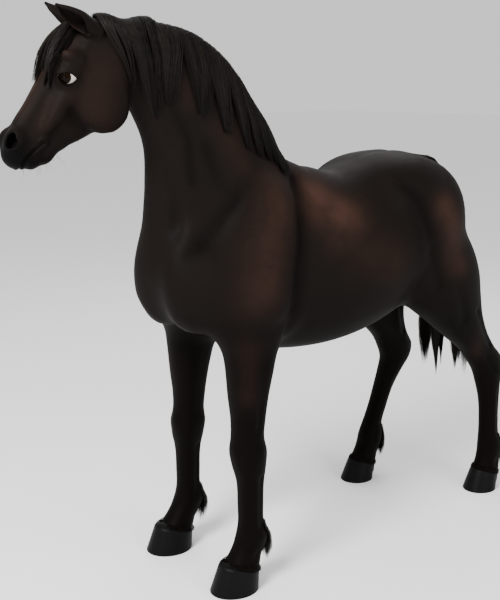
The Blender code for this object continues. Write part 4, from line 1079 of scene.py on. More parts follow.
def markings_and_painted_light(points):
    """Shares of the coat's colours at each place, from 0 to 1, as bell curves of the distance from their
    lines: tan is a reddish brown painted highlight over the muscles, dark is painted shade in the grooves
    and folds and on the underside, the black of the legs and the black rim of the lids, and bare is the
    skin of the muzzle."""
    tan, dark = np.zeros(len(points)), np.zeros(len(points))
    for found, on_body, on_its_head in ((tan, TAN_HIGHLIGHT_LINES, TAN_HIGHLIGHTS_ON_HEAD), (dark, PAINTED_SHADE_LINES, PAINTED_SHADE_ON_HEAD)):
        for side in SIDES:
            lines = [(np.multiply(line, (side, 1, 1)), half, most) for line, half, most in on_body]
            for line, half, most in on_its_head:
                lines.append((np.array([on_head(place, side) for place in line]), half, most))
            for line, half, most in lines:
                off = distance_to_line(points, line) / half
                np.maximum(found, most * np.exp(-(off**2)), out=found)
    for side in SIDES:
        off, ahead = lid_edge(points, side)
        dark = np.maximum(dark, np.exp(-((np.maximum(off, 0) / LID_DARK) ** 2)) * (ahead > 0))
    # the legs' own black, with painted shade on the belly and lower chest above it
    legs = share(BLACK_AND_UNDER_SHADE_BELOW - points[:, 2], BLACK_AND_UNDER_SHADE_FADE)
    dark = np.maximum(dark, legs * (1 - TAN_ON_LEGS * tan))
    _, _, along = in_head(points)
    _, _, neck_along = in_neck(points)
    bare = share(along - MUZZLE_FROM, MUZZLE_FADE) * (neck_along > MUZZLE_PAST)
    return {"tan": tan, "dark": dark, "bare": bare}


def unwrapped(points):
    """Each point's place on a flat map of the skin: a roll round the middle of each limb, of the trunk,
    neck and head, each in its own window of the map. Across the window runs the angle round the limb, and
    up it the station along the limb."""
    place = np.zeros((len(points), 2))
    windows = chart_of(points)
    inside = 1 - 2 * WINDOW_EDGE
    for chart, (middle, turn, low, high, window) in enumerate(charts()):
        mine = windows == chart
        side, up, along = ((points[mine] - middle) @ turn).T
        around = np.arctan2(side, -up) / (2 * np.pi) + 0.5
        u, v, wide, tall = window
        place[mine, 0] = u + wide * (WINDOW_EDGE + inside * around)
        place[mine, 1] = v + tall * (WINDOW_EDGE + inside * share(along - low, high - low))
    return place


def chart_of(points):
    """Which window of the map each point belongs to: trunk, neck, head, or one of the legs."""
    chart = np.zeros(len(points), int)
    _, _, neck_along = in_neck(points)
    _, _, head_along = in_head(points)
    chart[(neck_along > NECK_CHART_FROM) & (points[:, 2] > NECK_CHART_ABOVE)] = NECK_CHART
    chart[(neck_along > HEAD_CHART_FROM) & (head_along > HEAD_CHART_PAST)] = HEAD_CHART
    legs = points[:, 2] < LEG_CHART_BELOW
    for number, (leg, side) in enumerate(STEPS):
        fore = leg == "foreleg"
        mine = legs & ((points[:, 1] < FORE_CHART_AHEAD) == fore) & (points[:, 0] * side > 0)
        chart[mine] = FIRST_LEG_CHART + number
    return chart


def charts():
    """Middle, turn, lowest and highest station, and window (left, bottom, width, height) of each chart."""
    found = [
        ((0, 0, 108), LENGTHWAYS, -80, 110, (0, 0.5, 0.5, 0.5)),
        (NECK_ROOT, NECK, -5, 80, (0.5, 0.5, 0.25, 0.5)),
        (POLL, HEAD, -20, 52, (0.75, 0.5, 0.25, 0.5)),
    ]
    for number, (leg, side) in enumerate(STEPS):
        _, front, rear, _, out = LEG_ROWS[leg][LEG_CHART_ROW]
        found.append(((side * out, (front + rear) / 2, 0), UPRIGHT, 0, 90, (0.25 * number, 0, 0.25, 0.5)))
    return found


def name_of(kind, side):
    """The node's name for this side."""
    return f"{kind}_{'left' if side == LEFT else 'right'}"


def to_row(points):
    """From the tables' axes in cm to the row's frame in metres."""
    return np.asarray(points) * CM + SHIFT


def row_shift():
    """Where the tables' origin lies in the row's frame, from the box of one hoof."""
    low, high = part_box("hoof_fore_left")
    _, half_length, _, _, ahead = HOOVES["foreleg"]
    x, y, _ = foot("foreleg", LEFT)
    toe = y - ahead - half_length * (1 - SOLE_BEVEL)
    return np.array([(low.x + high.x) / 2 - x * CM, low.y - toe * CM, 0])


SHIFT = row_shift()


# ---------------------------------------------------------------- hooves and eyes
def build_hooves(finish):
    """Rings from the flat sole up the sloping wall to the coronet. Each is an ellipse with shortened
    heels whose size falls off evenly with height, and a sine of the height adds the growth rings."""
    angle = np.linspace(0, 2 * np.pi, HOOF_SIDES, endpoint=False)
    across, lengthways = np.sin(angle), -np.cos(angle)
    lengthways = np.where(lengthways > 0, HEEL_SHARE * lengthways, lengthways)
    wall = np.linspace(HOOF_WALL_FROM, 1, HOOF_RINGS)
    heights = np.concatenate([[0, 0, HOOF_EDGE_AT], wall, [1.0]])
    rounded = 1 - HOOF_ROUND * share(wall - HOOF_ROUND_FROM, HOOF_ROUND_SPAN) ** HOOF_ROUND_POWER
    inward = np.concatenate([[SOLE_RING, 1, 1], rounded, [TOP_RING]])
    for leg, side in STEPS:
        half_width, half_length, _, _, ahead = HOOVES[leg]
        x, y, _ = foot(leg, side)
        rings = []
        for height, size_in in zip(heights, inward):
            size = 1 + (CORONET_SHARE - 1) * height - SOLE_BEVEL * (height == 0) - HOOF_INSET
            ridge = HOOF_RIDGE * np.sin(height * HOOF_RIDGES * 2 * np.pi)
            size = (size + ridge * (HOOF_RIDGES_FROM < height < 1)) * size_in
            ring_y = y + ahead * (height - 1) + half_length * size * lengthways
            top = coronet(leg, side, y + half_length * CORONET_SHARE * lengthways) + HOOF_UNDER_SKIN
            rings.append(np.stack([x + half_width * size * across, ring_y, top * height], 1))
        points, quads, ends = tube_faces(np.array(rings))
        node = name_of(f"hoof_{leg[:-3]}", side)
        data = new_mesh(node, to_row(points), [quads, ends])
        add_piece(f"{node}_horn", data, finish, [node])


def tube_faces(rings):
    """Points, quads and end triangles of a closed loft through the rings (ring, point, xyz)."""
    count, sides = rings.shape[:2]
    at = np.arange(count * sides).reshape(count, sides)
    a, b = at[:-1], np.roll(at, -1, 1)[:-1]
    c, d = np.roll(at, -1, 1)[1:], at[1:]
    quads = np.stack([a, b, c, d], -1).reshape(-1, 4)
    points = np.concatenate([rings.reshape(-1, 3), rings[[0, -1]].mean(1)])
    low, high = count * sides, count * sides + 1
    first, last = at[0], at[-1]
    ends = np.concatenate([
        np.stack([np.full(sides, low), np.roll(first, -1), first], 1),
        np.stack([np.full(sides, high), last, np.roll(last, -1)], 1),
    ])
    return points, quads, ends


def build_eyes(finish):
    """Eyeballs: spheres, with a cornea that rises by a share of the radius that falls off with the square
    of the angle from the pupil. The attribute named gaze is each point's direction from the eye's
    middle."""
    turn = np.linspace(0, np.pi, EYE_RINGS)
    around = np.linspace(0, 2 * np.pi, EYE_SIDES, endpoint=False)
    bulge = 1 + CORNEA_RISE * np.clip(1 - (turn / CORNEA_ANGLE) ** 2, 0, 1)
    rings = np.stack([
        np.outer(np.sin(turn) * bulge, np.cos(around)),
        np.outer(np.sin(turn) * bulge, np.sin(around)),
        np.outer(np.cos(turn) * bulge, np.ones(EYE_SIDES)),
    ], -1) * EYE_RADIUS
    points, quads, ends = tube_faces(rings[::-1])
    for side in SIDES:
        node = name_of("eye", side)
        data = new_mesh(node, to_row(points @ eye_turn(side).T + on_head(EYE_CENTRE, side)), [quads, ends])
        add_attribute(data, "gaze", points / EYE_RADIUS)
        add_piece(f"{node}_ball", data, finish, [node])


def eye_turn(side):
    """The eye's axes, with the pupil turned towards the front corner of the opening."""
    level, up, gaze = eye_frame(side).T
    turn = math.radians(IRIS_AHEAD)
    ahead = gaze * math.cos(turn) + level * math.sin(turn)
    return np.stack([level * math.cos(turn) - gaze * math.sin(turn), up, ahead], 1)


# ---------------------------------------------------------------- long hair
def strands(lines, normals, half_width, depth):
    """Closed three-sided blades along the lines (row, strand, xyz) that end in points: two edges beside
    the line and a ridge over it. Returns points (strand, corner, xyz), and quads and triangles."""
    rows, count = lines.shape[:2]
    ahead = unit(np.gradient(lines, axis=0))
    across = unit(np.cross(ahead, normals))
    over = np.cross(across, ahead)
    wide = half_width[..., None]
    thick = depth[..., None]
    ring = np.stack([lines - across * wide, lines + over * thick, lines + across * wide], 2)[:-1]
    body = ring.transpose(1, 0, 2, 3).reshape(count, -1, 3)
    points = np.concatenate([body, lines[-1][:, None]], 1)
    each = 3 * (rows - 1) + 1
    at = np.arange(3 * (rows - 1)).reshape(rows - 1, 3)
    quads = np.stack([at[:-1], np.roll(at[:-1], -1, 1), np.roll(at[1:], -1, 1), at[1:]], -1).reshape(-1, 4)
    last = at[-1]
    faced = np.stack([-across, over, across], 2)[:-1].transpose(1, 0, 2, 3).reshape(count, -1, 3)
    faced = np.concatenate([faced, over[-1][:, None]], 1)
    tips = np.stack([last, np.roll(last, -1), np.full(3, each - 1)], 1)
    first = at[0][::-1][None]
    step = each * np.arange(count)[:, None, None]
    quads = (quads[None] + step).reshape(-1, 4)
    triangles = (np.concatenate([tips, first])[None] + step).reshape(-1, 3)
    return points, quads, triangles, faced


def strand_mesh(name, lines, normals, half_width, depth, shade, softness):
    """A mesh of blades, with the colours, painted highlights and painted shade of its root's place, and a
    shade of its own on each, and the OFBake map: each blade has its own small patch at its root's place
    on the unwrapped skin."""
    rows = len(lines)
    points, quads, triangles, faced = strands(lines, normals, half_width, depth)
    each = points.shape[1]
    data = new_mesh(name, to_row(points.reshape(-1, 3)), [quads, triangles])
    flesh = np.concatenate([np.repeat(normals[:-1], 3, axis=0), normals[-1:]]).transpose(1, 0, 2)
    soft = unit(flesh * softness + faced * (1 - softness)).reshape(-1, 3)
    data.normals_split_custom_set_from_vertices(soft.astype(np.float32))
    roots = lines[0]
    for label, values in {**markings_and_painted_light(roots), "shade": shade}.items():
        add_attribute(data, label, np.repeat(values, each))
    reach = np.append(np.repeat(np.arange(rows - 1), 3), rows - 1) / (rows - 1)
    corner_side = np.append(np.tile([0, 0.5, 1], rows - 1), 0.5)
    patch = PATCH * (np.stack([corner_side, reach], 1) - 0.5)
    place = (unwrapped(roots)[:, None] + patch[None]).reshape(-1, 2)
    layer = data.uv_layers.new(name="OFBake")
    corners = np.empty(len(data.loops), np.int32)
    data.loops.foreach_get("vertex_index", corners)
    place = np.clip(place, MAP_EDGE, 1 - MAP_EDGE)[corners]
    layer.data.foreach_set("uv", place.astype(np.float32).reshape(-1))
    return data


def add_hair(name, lines, normals, sizes, shade, finish, replaced=()):
    """Adds one piece of strands with these half widths and ridge heights."""
    data = strand_mesh(name, lines, normals, *blade(lines, sizes), shade, HAIR_SOFTNESS)
    add_piece(name, data, finish, replaced)


def resampled(lines, rows, crowding=1.0):
    """The lines with this many rows, on cubic curves through theirs; more crowding puts more rows near
    the root."""
    at = np.linspace(0, 1, rows) ** crowding * (len(lines) - 1)
    i = np.clip(at.astype(int), 0, len(lines) - 2)
    slope = np.gradient(lines, axis=0)
    start, end, leaving, arriving = cubic_shares((at - i)[:, None, None])
    return lines[i] * start + lines[i + 1] * end + slope[i] * leaving + slope[i + 1] * arriving


def pointed(along, locks, depth):
    """A share of full length for each line: locks hang lowest in their middles, by this depth."""
    place = np.interp(along, locks, np.arange(len(locks)))
    return 1 - depth * np.abs(2 * (place % 1) - 1) ** LOCK_POWER


def gathered(lines, groups, spread):
    """The lines drawn towards the mean line of their group, more and more towards their tips."""
    rows, most = len(lines), groups.max() + 1
    reach = np.linspace(0, 1, rows)[:, None, None]
    middle = np.zeros((rows, most, 3))
    count = np.maximum(np.bincount(groups, minlength=most), 1)
    for row in range(rows):
        for axis in range(3):
            middle[row, :, axis] = np.bincount(groups, lines[row, :, axis], most) / count
    own = middle[:, groups]
    root_off = lines[0] - own[0]
    drawn = own + root_off * (1 - (1 - spread) * reach**GATHER_POWER)
    return lines + (drawn - lines) * np.clip(reach * GATHER_RATE, 0, 1)


def laid(value_at, lines, lift, rows):
    """The lines at these heights over the flesh, and the flesh's normals along them."""
    fine = resampled(lines, rows, ROW_CROWDING)
    flat = settled(fine.reshape(-1, 3), value_at, rounds=2)
    normal = unit(slope_at(flat, value_at)).reshape(fine.shape)
    return flat.reshape(fine.shape) + normal * lift[..., None], normal


def rows_of(table, rows):
    """The table's heights at each row of a strand, with the root itself in the skin."""
    heights = np.interp(np.linspace(0, 1, rows) ** ROW_CROWDING, np.linspace(0, 1, len(table)), table)
    return np.append(0, heights[1:])[:, None]


def clear_of_ears(lines):
    """Which lines stay out of the ears."""
    ears = [ear_form(side, EAR_ROWS, EAR_BLEND) for side in SIDES]
    value = field(lines.reshape(-1, 3), ears).reshape(lines.shape[:2])
    return (value[1:] > EAR_GAP).all(0)


def mane_lines(value_at, along, side, length):
    """Lines that spring from these stations of the crest and hang down the left side of the neck."""
    above = np.minimum(neck_form().section(along)[1] + MANE_ROOT_ABOVE, np.interp(along, *MANE_CREST))
    crest = np.stack([MANE_ROOT_SIDE + side, above, along], 1) @ NECK.T + NECK_ROOT
    return draped(value_at, settled(crest, value_at, rounds=4), np.array(MANE_PULLS), length)


def build_mane(value_at, finish):
    """Hair from the crest, over to the left side of the neck. In each lock it narrows towards one tip, in
    finer clumps, and some shorter hair under it is left loose."""
    start, end, tip, full, whole = np.array(MANE_LOCKS, float).T
    middle = mane_lines(value_at, tip, np.zeros(len(tip)), full)
    for number in range(MANE_PIECES):
        rng = np.random.default_rng(number + MANE_SEED)
        count = MANE_STRANDS
        along = rng.uniform(start[0], end[-1], count)
        lock = np.searchsorted(end[:-1], along)
        loose = rng.uniform(0, 1, count) < MANE_LOOSE
        length = full[lock] * (1 - MANE_UNEVEN * rng.uniform(0, 1, count) ** 2)
        length = length * np.where(loose, MANE_LOOSE_LENGTH, 1)
        lines = mane_lines(value_at, along, rng.normal(0, MANE_ROOT_SPREAD, count), length)
        clumps = np.floor((along - start[0]) / MANE_CLUMP).astype(int)
        clumps = clumps + loose * (clumps.max() + 1)
        lines = gathered(lines, clumps, MANE_GATHER)
        reach = np.linspace(0, 1, len(lines))[:, None] * (length / full[lock])
        drawn_in = share(reach - whole[lock], MANE_NARROWS - whole[lock])
        narrow = np.where(loose, 1, 1 - MANE_DRAWN_IN * drawn_in)[..., None]
        target = middle[:, lock]
        lines = target + (lines - target) * narrow
        layer = rng.uniform(LEAST_LAYER, 1, count) * np.where(loose, MANE_LOOSE_LAYER, 1)
        lift = rows_of(MANE_LIFT, STRAND_ROWS) * np.interp(along, *MANE_THICKNESS) * layer - ROOT_DEPTH
        lines, normals = laid(value_at, lines, lift, STRAND_ROWS)
        keep = clear_of_ears(lines)
        shade = MANE_SHADE * (rng.uniform(0, 1, count) + rng.uniform(0, 1, clumps.max() + 1)[clumps])[keep]
        replaced = ["mane"] if number == 0 else []
        name = f"mane_hair_{number + 1}"
        add_hair(name, lines[:, keep], normals[:, keep], MANE_BLADE, shade, finish, replaced=replaced)


def blade(lines, sizes):
    """Half width and ridge height of each blade: a sine of its length, widest before the middle, that
    fades out to a point."""
    rows, count = lines.shape[:2]
    reach = np.linspace(0, 1, rows)[:, None]
    swell = BLADE_ROOT + BLADE_SWELL * np.sin(np.pi * np.clip(reach * BLADE_RATE, 0, 1))
    form = swell * (1 - reach**BLADE_END)
    half, ridge = sizes
    return half * form * np.ones(count), ridge * form * np.ones(count)


def build_forelock(value_at, finish):
    """Hair from between the ears, down the forehead."""
    rng = np.random.default_rng(FORELOCK_SEED)
    count = FORELOCK_STRANDS
    side = rng.uniform(-FORELOCK_HALF, FORELOCK_HALF, count)
    up, along = FORELOCK_ROOT
    local = np.stack([side, np.full_like(side, up), along + rng.normal(0, FORELOCK_SPREAD, count)], 1)
    roots = settled(local @ HEAD.T + POLL, value_at, rounds=4)
    length = FORELOCK_LENGTH * pointed(side, FORELOCK_LOCKS, FORELOCK_POINT)
    length *= 1 - FORELOCK_UNEVEN * rng.uniform(0, 1, count) ** 2
    pull = np.stack([side / FORELOCK_FLARE, np.zeros_like(side), np.ones_like(side)], 1) @ HEAD.T
    lines = draped(value_at, roots, [pull] * (len(FORELOCK_LIFT) - 1), length)
    groups = np.floor((side + FORELOCK_HALF) / FORELOCK_CLUMP).astype(int)
    lines = gathered(lines, groups, FORELOCK_GATHER)
    lift = rows_of(FORELOCK_LIFT, STRAND_ROWS) * rng.uniform(LEAST_LAYER, 1, count) - ROOT_DEPTH
    lines, normals = laid(value_at, lines, lift, STRAND_ROWS)
    keep = clear_of_ears(lines)
    shade = rng.uniform(0, 1, count)[keep]
    lines, normals = lines[:, keep], normals[:, keep]
    add_hair("forelock_hair", lines, normals, MANE_BLADE, shade, finish, replaced=["forelock"])


def tail_rings(at):
    """Middle, direction and half sizes of the tail at these stations of its table, on cubic curves
    through it."""
    y, z, half, depth = resampled(np.array(TAIL)[:, None, :], TAIL_STEPS)[:, 0].T
    stations = np.linspace(0, len(TAIL) - 1, TAIL_STEPS)
    path = np.stack([np.zeros_like(y), y, z], 1)
    ahead = unit(np.gradient(path, axis=0))
    middle, ahead = (
        np.stack([np.interp(at, stations, column) for column in values.T], -1) for values in (path, ahead)
    )
    return middle, unit(ahead), np.interp(at, stations, half), np.interp(at, stations, depth)


def build_tail(finish):
    """Hair that springs from the dock and hangs in a full switch. Each strand keeps its angle round the
    tail's middle and its share of the tail's half sizes, until its lock draws it in to a point."""
    across = np.array([1.0, 0, 0])
    for number in range(TAIL_PIECES):
        rng = np.random.default_rng(number + TAIL_SEED)
        count = TAIL_STRANDS
        start = rng.uniform(TAIL_FROM, 1, count) ** TAIL_FROM_POWER * TAIL_TO
        angle = rng.uniform(0, 2 * np.pi, count)
        groups = np.floor(angle / (2 * np.pi) * TAIL_LOCKS).astype(int)
        layer = np.sqrt(rng.uniform(TAIL_LEAST_LAYER, 1, count))
        reach = np.linspace(0, 1, STRAND_ROWS)[:, None]
        end = len(TAIL) - 1 - TAIL_UNEVEN * rng.uniform(0, 1, count) ** 2
        middle, ahead, half, depth = tail_rings(start + (end - start) * reach)
        half, depth = (size * (1 + (TAIL_WIDER - 1) * reach) for size in (half, depth))
        up = np.cross(across, ahead)
        centre = (groups + 0.5) / TAIL_LOCKS * 2 * np.pi
        drawn = angle + (centre - angle) * TAIL_GATHER * reach**TAIL_GATHER_POWER
        out = layer * (TAIL_AT_TOP + (1 - TAIL_AT_TOP) * reach)
        to_lock = TAIL_LOCK_SHARE * share(reach - TAIL_LOCK_FROM, TAIL_LOCK_SPAN) ** TAIL_GATHER_POWER
        wide = out * np.cos(drawn) * (1 - to_lock) + TAIL_LOCK_AT * np.cos(centre) * to_lock
        deep = out * np.sin(drawn) * (1 - to_lock) + TAIL_LOCK_AT * np.sin(centre) * to_lock
        lines = middle + (wide * half)[..., None] * across + (deep * depth)[..., None] * up
        normals = unit(np.cos(drawn)[..., None] * across + np.sin(drawn)[..., None] * up)
        hang = np.abs(2 * (angle / (2 * np.pi) * TAIL_LOCKS % 1) - 1)
        fall = (TAIL_DROP + TAIL_DROP_WAVE * np.sin(TAIL_WAVES * centre)) * (1 - TAIL_HANG * hang)
        fall = fall * rng.uniform(TAIL_DROP_LEAST, 1, count)
        lines[..., 2] -= fall * reach**TAIL_DROP_POWER
        lines[..., 1] += TAIL_SWEPT * reach**TAIL_SWEPT_POWER
        shade = rng.uniform(*TAIL_SHADE, count)
        replaced = ["tail"] if number == 0 else []
        add_hair(f"tail_hair_{number + 1}", lines, normals, TAIL_BLADE, shade, finish, replaced=replaced)


def build_tail_head(value_at, finish):
    """Hair that starts on the croup and lies over the root of the tail: curves from a root on the croup,
    over the crown of the dock, to a place round the tail's middle."""
    rng = np.random.default_rng(TAIL_HEAD_SEED)
    count = TAIL_HEAD_STRANDS
    side = rng.uniform(-1, 1, count)
    under = rng.uniform(0, 1, count)
    forward = rng.uniform(0, 1, count)
    start = np.interp(np.maximum(forward, under) ** TAIL_HEAD_CROWDING, (0, 1), TAIL_HEAD_FROM)
    least, more = TAIL_HEAD_ROOTS
    roots = np.stack([side * (least + more * forward), start, np.full(count, TAIL_HEAD_OVER)], 1)
    roots = settled(roots, value_at, rounds=8)
    y, top, half = (np.array(TAIL_HEAD)[:, [column]] for column in range(3))
    low = top - TAIL_HEAD_DEPTH * under - TAIL_HEAD_ROUND * half * side**2
    crown = np.stack([half * side, y - TAIL_HEAD_AHEAD * under, low], -1)
    angle = np.pi / 2 - side * TAIL_HEAD_FAN
    at = np.array(TAIL_HEAD_STATIONS)[:, None] + rng.uniform(0, TAIL_HEAD_UNEVEN, count)
    middle, ahead, wide, deep = tail_rings(at)
    across = np.array([1.0, 0, 0])
    up = np.cross(across, ahead)
    grown = TAIL_HEAD_GROWN - TAIL_HEAD_SUNK * under
    wide, deep = grown * wide * np.cos(angle), grown * deep * np.sin(angle)
    rings = middle + wide[..., None] * across + deep[..., None] * up
    lines = resampled(np.concatenate([roots[None], crown, rings]), STRAND_ROWS)
    out = unit(lines - np.array(TAIL_HEAD_MIDDLE))
    add_hair("tail_head_hair", lines, out, TAIL_BLADE, rng.uniform(0, 1, count), finish)


def joined(parts):
    """The lines and the normals of several groups of strands, as one group."""
    return (np.concatenate(group, 1) for group in zip(*parts))


def build_feather(value_at, finish):
    """The longer hair behind each fetlock: each strand arches back as a sine of its length, fans out,
    draws in again and falls by a power of it."""
    parts = []
    rng = np.random.default_rng(FEATHER_SEED)
    count = FEATHER_STRANDS
    heights, reach, width = np.array(FEATHER).T
    t = np.linspace(0, 1, FEATHER_ROWS)[:, None]
    for leg, side in STEPS:
        rows = np.array(leg_rows(leg, side))
        z = rng.uniform(*FEATHER_FROM, count)
        rear, out = (np.interp(z, rows[:, 0], rows[:, column]) for column in (2, 4))
        wide = np.interp(z, heights, width)
        off = rng.uniform(-1, 1, count)
        behind = rear - FEATHER_AHEAD - FEATHER_ROUND * off**2
        roots = settled(np.stack([out + off * wide * FEATHER_WIDER, behind, z], 1), value_at, rounds=3)
        far = np.interp(z, heights, reach) * (1 - FEATHER_THIN * off**2)
        length = rng.uniform(*FEATHER_LENGTH, count)
        lines = np.repeat(roots[None], FEATHER_ROWS, 0)
        lines[..., 1] += far * np.sin(t * np.pi * FEATHER_ARCH) * rng.uniform(FEATHER_LEAST, 1, count)
        lines[..., 0] += off * FEATHER_OUT * t - off * FEATHER_IN * t**2
        lines[..., 2] -= length * t**FEATHER_FALL
        lines[..., 2] = np.maximum(lines[..., 2], FEATHER_LOWEST)
        facing = unit(np.stack([off * FEATHER_FACES, np.ones_like(off), np.zeros_like(off)], 1))
        parts.append((lines, np.broadcast_to(facing, lines.shape)))
    lines, normals = joined(parts)
    shade = rng.uniform(0, 1, lines.shape[1])
    add_hair("feather_hair", lines, normals, FEATHER_BLADE, shade, finish)


def build_whiskers(value_at, finish):
    """Lashes on the upper lids, which curl up with the square of their length, and a few long whiskers on
    lips, chin and round the nostrils, which droop with it."""
    rng = np.random.default_rng(WHISKER_SEED)
    reach = np.linspace(0, 1, WHISKER_ROWS)[:, None, None]
    parts = []
    for side in SIDES:
        level, up, gaze = eye_frame(side).T
        along = np.linspace(LASH_FROM, LASH_TO, LASHES) + rng.normal(0, LASH_SPREAD, LASHES)
        rise = LID_UPPER * (1 - (np.abs(along - LID_MIDDLE) / LID_HALF) ** LID_UPPER_POWER) + LASH_ABOVE
        out = np.sqrt(np.maximum((EYE_RADIUS + LASH_BEFORE) ** 2 - along**2 - rise**2, LASH_LEAST))
        roots = on_head(EYE_CENTRE, side) + np.outer(along, level) + np.outer(rise, up) + np.outer(out, gaze)
        ahead = unit(gaze * LASH_AHEAD - up * LASH_DOWN + np.outer(along, level) * LASH_FAN)
        length = rng.uniform(*LASH_LENGTH, LASHES)[:, None]
        lines = roots + ahead * length * reach + up * (LASH_CURL * reach**2)
        parts.append((lines, np.broadcast_to(up, lines.shape)))
    local = rng.uniform(*WHISKER_BOX, (WHISKERS, 3))
    roots = settled(local @ HEAD.T + POLL, value_at, rounds=6)
    outward = unit(slope_at(roots, value_at))
    length = rng.uniform(*WHISKER_LENGTH, WHISKERS)[:, None]
    down = np.array([0, 0, -1.0])
    lines = roots + outward * length * reach + down * (length * WHISKER_DROOP * reach**2)
    parts.append((lines, np.broadcast_to(unit(np.cross(outward, down)), lines.shape)))
    lines, normals = joined(parts)
    shade = rng.uniform(0, 1, lines.shape[1])
    add_hair("whisker_hair", lines, normals, WHISKER_BLADE, shade, finish)


def build_coronets(value_at, finish):
    """The fringe of hair that hangs over the top of each hoof: straight lines from the skin to the rim,
    bulged by a sine of their length."""
    parts = []
    rng = np.random.default_rng(CORONET_SEED)
    count = CORONET_STRANDS
    reach = np.linspace(0, 1, CORONET_ROWS)[:, None, None]
    for leg, side in STEPS:
        half_width, half_length, _, _, _ = HOOVES[leg]
        x, y, _ = foot(leg, side)
        angle = rng.uniform(0, 2 * np.pi, count)
        out = np.stack([half_width * np.sin(angle), -half_length * np.cos(angle)], 1) * CORONET_SHARE
        up = rng.uniform(*CORONET_FROM, count)
        rim = coronet(leg, side, y + out[:, 1])
        roots = settled(np.column_stack([(x, y) + out * CORONET_ROOTS, rim + up]), value_at, rounds=4)
        hang = rng.uniform(0, CORONET_HANG, count)
        low = np.column_stack([(x, y) + out * CORONET_TIPS, rim + CORONET_OVER - hang])
        outward = unit(np.column_stack([out, np.zeros(count)]))
        lines = roots + (low - roots) * reach + outward * (CORONET_BULGE * np.sin(np.pi * reach))
        parts.append((lines, np.broadcast_to(outward, lines.shape)))
    lines, normals = joined(parts)
    shade = rng.uniform(0, 1, lines.shape[1])
    add_hair("coronet_hair", lines, normals, CORONET_BLADE, shade, finish)


def build_coat(skin, value_at, finish):
    """Thin tufts of the short coat, lying along the body on every side. Their roots are spread over the
    skin's triangles by area, thinner where the tufts are longer."""
    data = skin.data
    data.calc_loop_triangles()
    corners = np.empty(len(data.loop_triangles) * 3, np.int32)
    data.loop_triangles.foreach_get("vertices", corners)
    points = (points_of(data) - SHIFT) / CM
    corner = points[corners.reshape(-1, 3)]
    area = np.linalg.norm(np.cross(corner[:, 1] - corner[:, 0], corner[:, 2] - corner[:, 0]), axis=1) / 2
    weight = np.cumsum(area / tuft_length(corner.mean(1)) ** TUFT_CROWDING)
    at, rise, form = (np.array(values) for values in (TUFT_AT, TUFT_RISE, TUFT_FORM))
    for number in range(COAT_PIECES):
        rng = np.random.default_rng(number + COAT_SEED)
        pick = np.searchsorted(weight, rng.uniform(0, weight[-1], COAT_TUFTS))
        a, b = rng.uniform(0, 1, (2, COAT_TUFTS))
        flip = a + b > 1
        a, b = np.where(flip, 1 - a, a), np.where(flip, 1 - b, b)
        first, second, third = corner[pick].transpose(1, 0, 2)
        roots = first + (second - first) * a[:, None] + (third - first) * b[:, None]
        roots = roots[tuft_allowed(roots)]
        length = tuft_length(roots) * rng.uniform(*TUFT_UNEVEN, len(roots))
        normal = unit(slope_at(roots, value_at))
        pull = coat_lie(roots) + rng.normal(0, TUFT_STRAY, roots.shape)
        ahead = unit(pull - normal * (pull * normal).sum(1, keepdims=True))
        lift = length[:, None] * TUFT_LIFT * rise[:, None, None]
        lines = roots + ahead * (at[:, None, None] * length[:, None]) + normal * (lift - TUFT_ROOT)
        normals = np.broadcast_to(normal, lines.shape)
        half = form[:, None] * length * TUFT_HALF
        shade = rng.uniform(0, 1, len(roots))
        name = f"coat_tufts_{number + 1}"
        made = strand_mesh(name, lines, normals, half, half * TUFT_RIDGE, shade, TUFT_SOFTNESS)
        add_piece(name, made, finish)


def tuft_allowed(points):
    """Tufts keep off the eyeballs, the nostrils, the mouth and the hooves."""
    _, _, along = in_head(points)
    keep = (points[:, 2] > TUFTS_ABOVE) & (along < TUFTS_BEHIND)
    for centre, radius in TUFT_GAPS:
        for side in SIDES:
            keep &= np.linalg.norm(points - on_head(centre, side), axis=1) > radius
    return keep


def tuft_length(points):
    """Longest on the body, shorter on the legs, shortest on the face."""
    face = on_face(points)
    leg = share(TUFT_LEG_BELOW - points[:, 2], TUFT_LEG_FADE)
    return TUFT_BODY * (1 - face) * (1 - TUFT_LEG * leg) + TUFT_FACE * face


def coat_lie(points):
    """The way the hair lies: back and down on the body, down the legs, down the neck, and down the face."""
    _, _, neck_along = in_neck(points)
    face = share(neck_along - LIE_FACE_FROM, LIE_FACE_FADE)[:, None]
    neck = share(neck_along, LIE_NECK_FADE)[:, None] * (1 - face)
    leg = share(LIE_LEG_BELOW - points[:, 2], LIE_LEG_FADE)[:, None]
    lie = np.array(BODY_LIE) * (1 - leg) + np.array(LEG_LIE) * leg
    return lie * (1 - neck - face) + np.array(NECK_LIE) * neck + HEAD @ FACE_LIE * face


# ---------------------------------------------------------------- finishes
def linear(hex_colour):
    """A colour given as sRGB hex, as linear RGBA."""
    channels = np.array([int(hex_colour[i:i + 2], 16) for i in (1, 3, 5)]) / 255
    low, high = channels / 12.92, ((channels + 0.055) / 1.055) ** 2.4
    return (*np.where(channels <= 0.04045, low, high).tolist(), 1.0)


def set_inputs(tree, node, inputs):
    """Gives each of these inputs its value, or a link if it is another node's output."""
    for key, value in dict(inputs).items():
        if isinstance(value, bpy.types.NodeSocket):
            tree.links.new(value, node.inputs[key])
        else:
            node.inputs[key].default_value = value


def add_node(tree, kind, inputs=(), output=0, **settings):
    """Adds a node with its settings and its values or links, and returns one of its outputs."""
    node = tree.nodes.new(kind)
    for key, value in settings.items():
        setattr(node, key, value)
    set_inputs(tree, node, inputs)
    return node.outputs[output]


def new_material(name):
    """A material and its node tree."""
    made = bpy.data.materials.new(name)
    made.use_nodes = True
    return made, made.node_tree


def shaded(made, **inputs):
    """The material, with its surface's inputs set; an underscore stands for a space in an input's name."""
    inputs = {name.replace("_", " "): value for name, value in inputs.items()}
    set_inputs(made.node_tree, made.node_tree.nodes["Principled BSDF"], inputs)
    return made


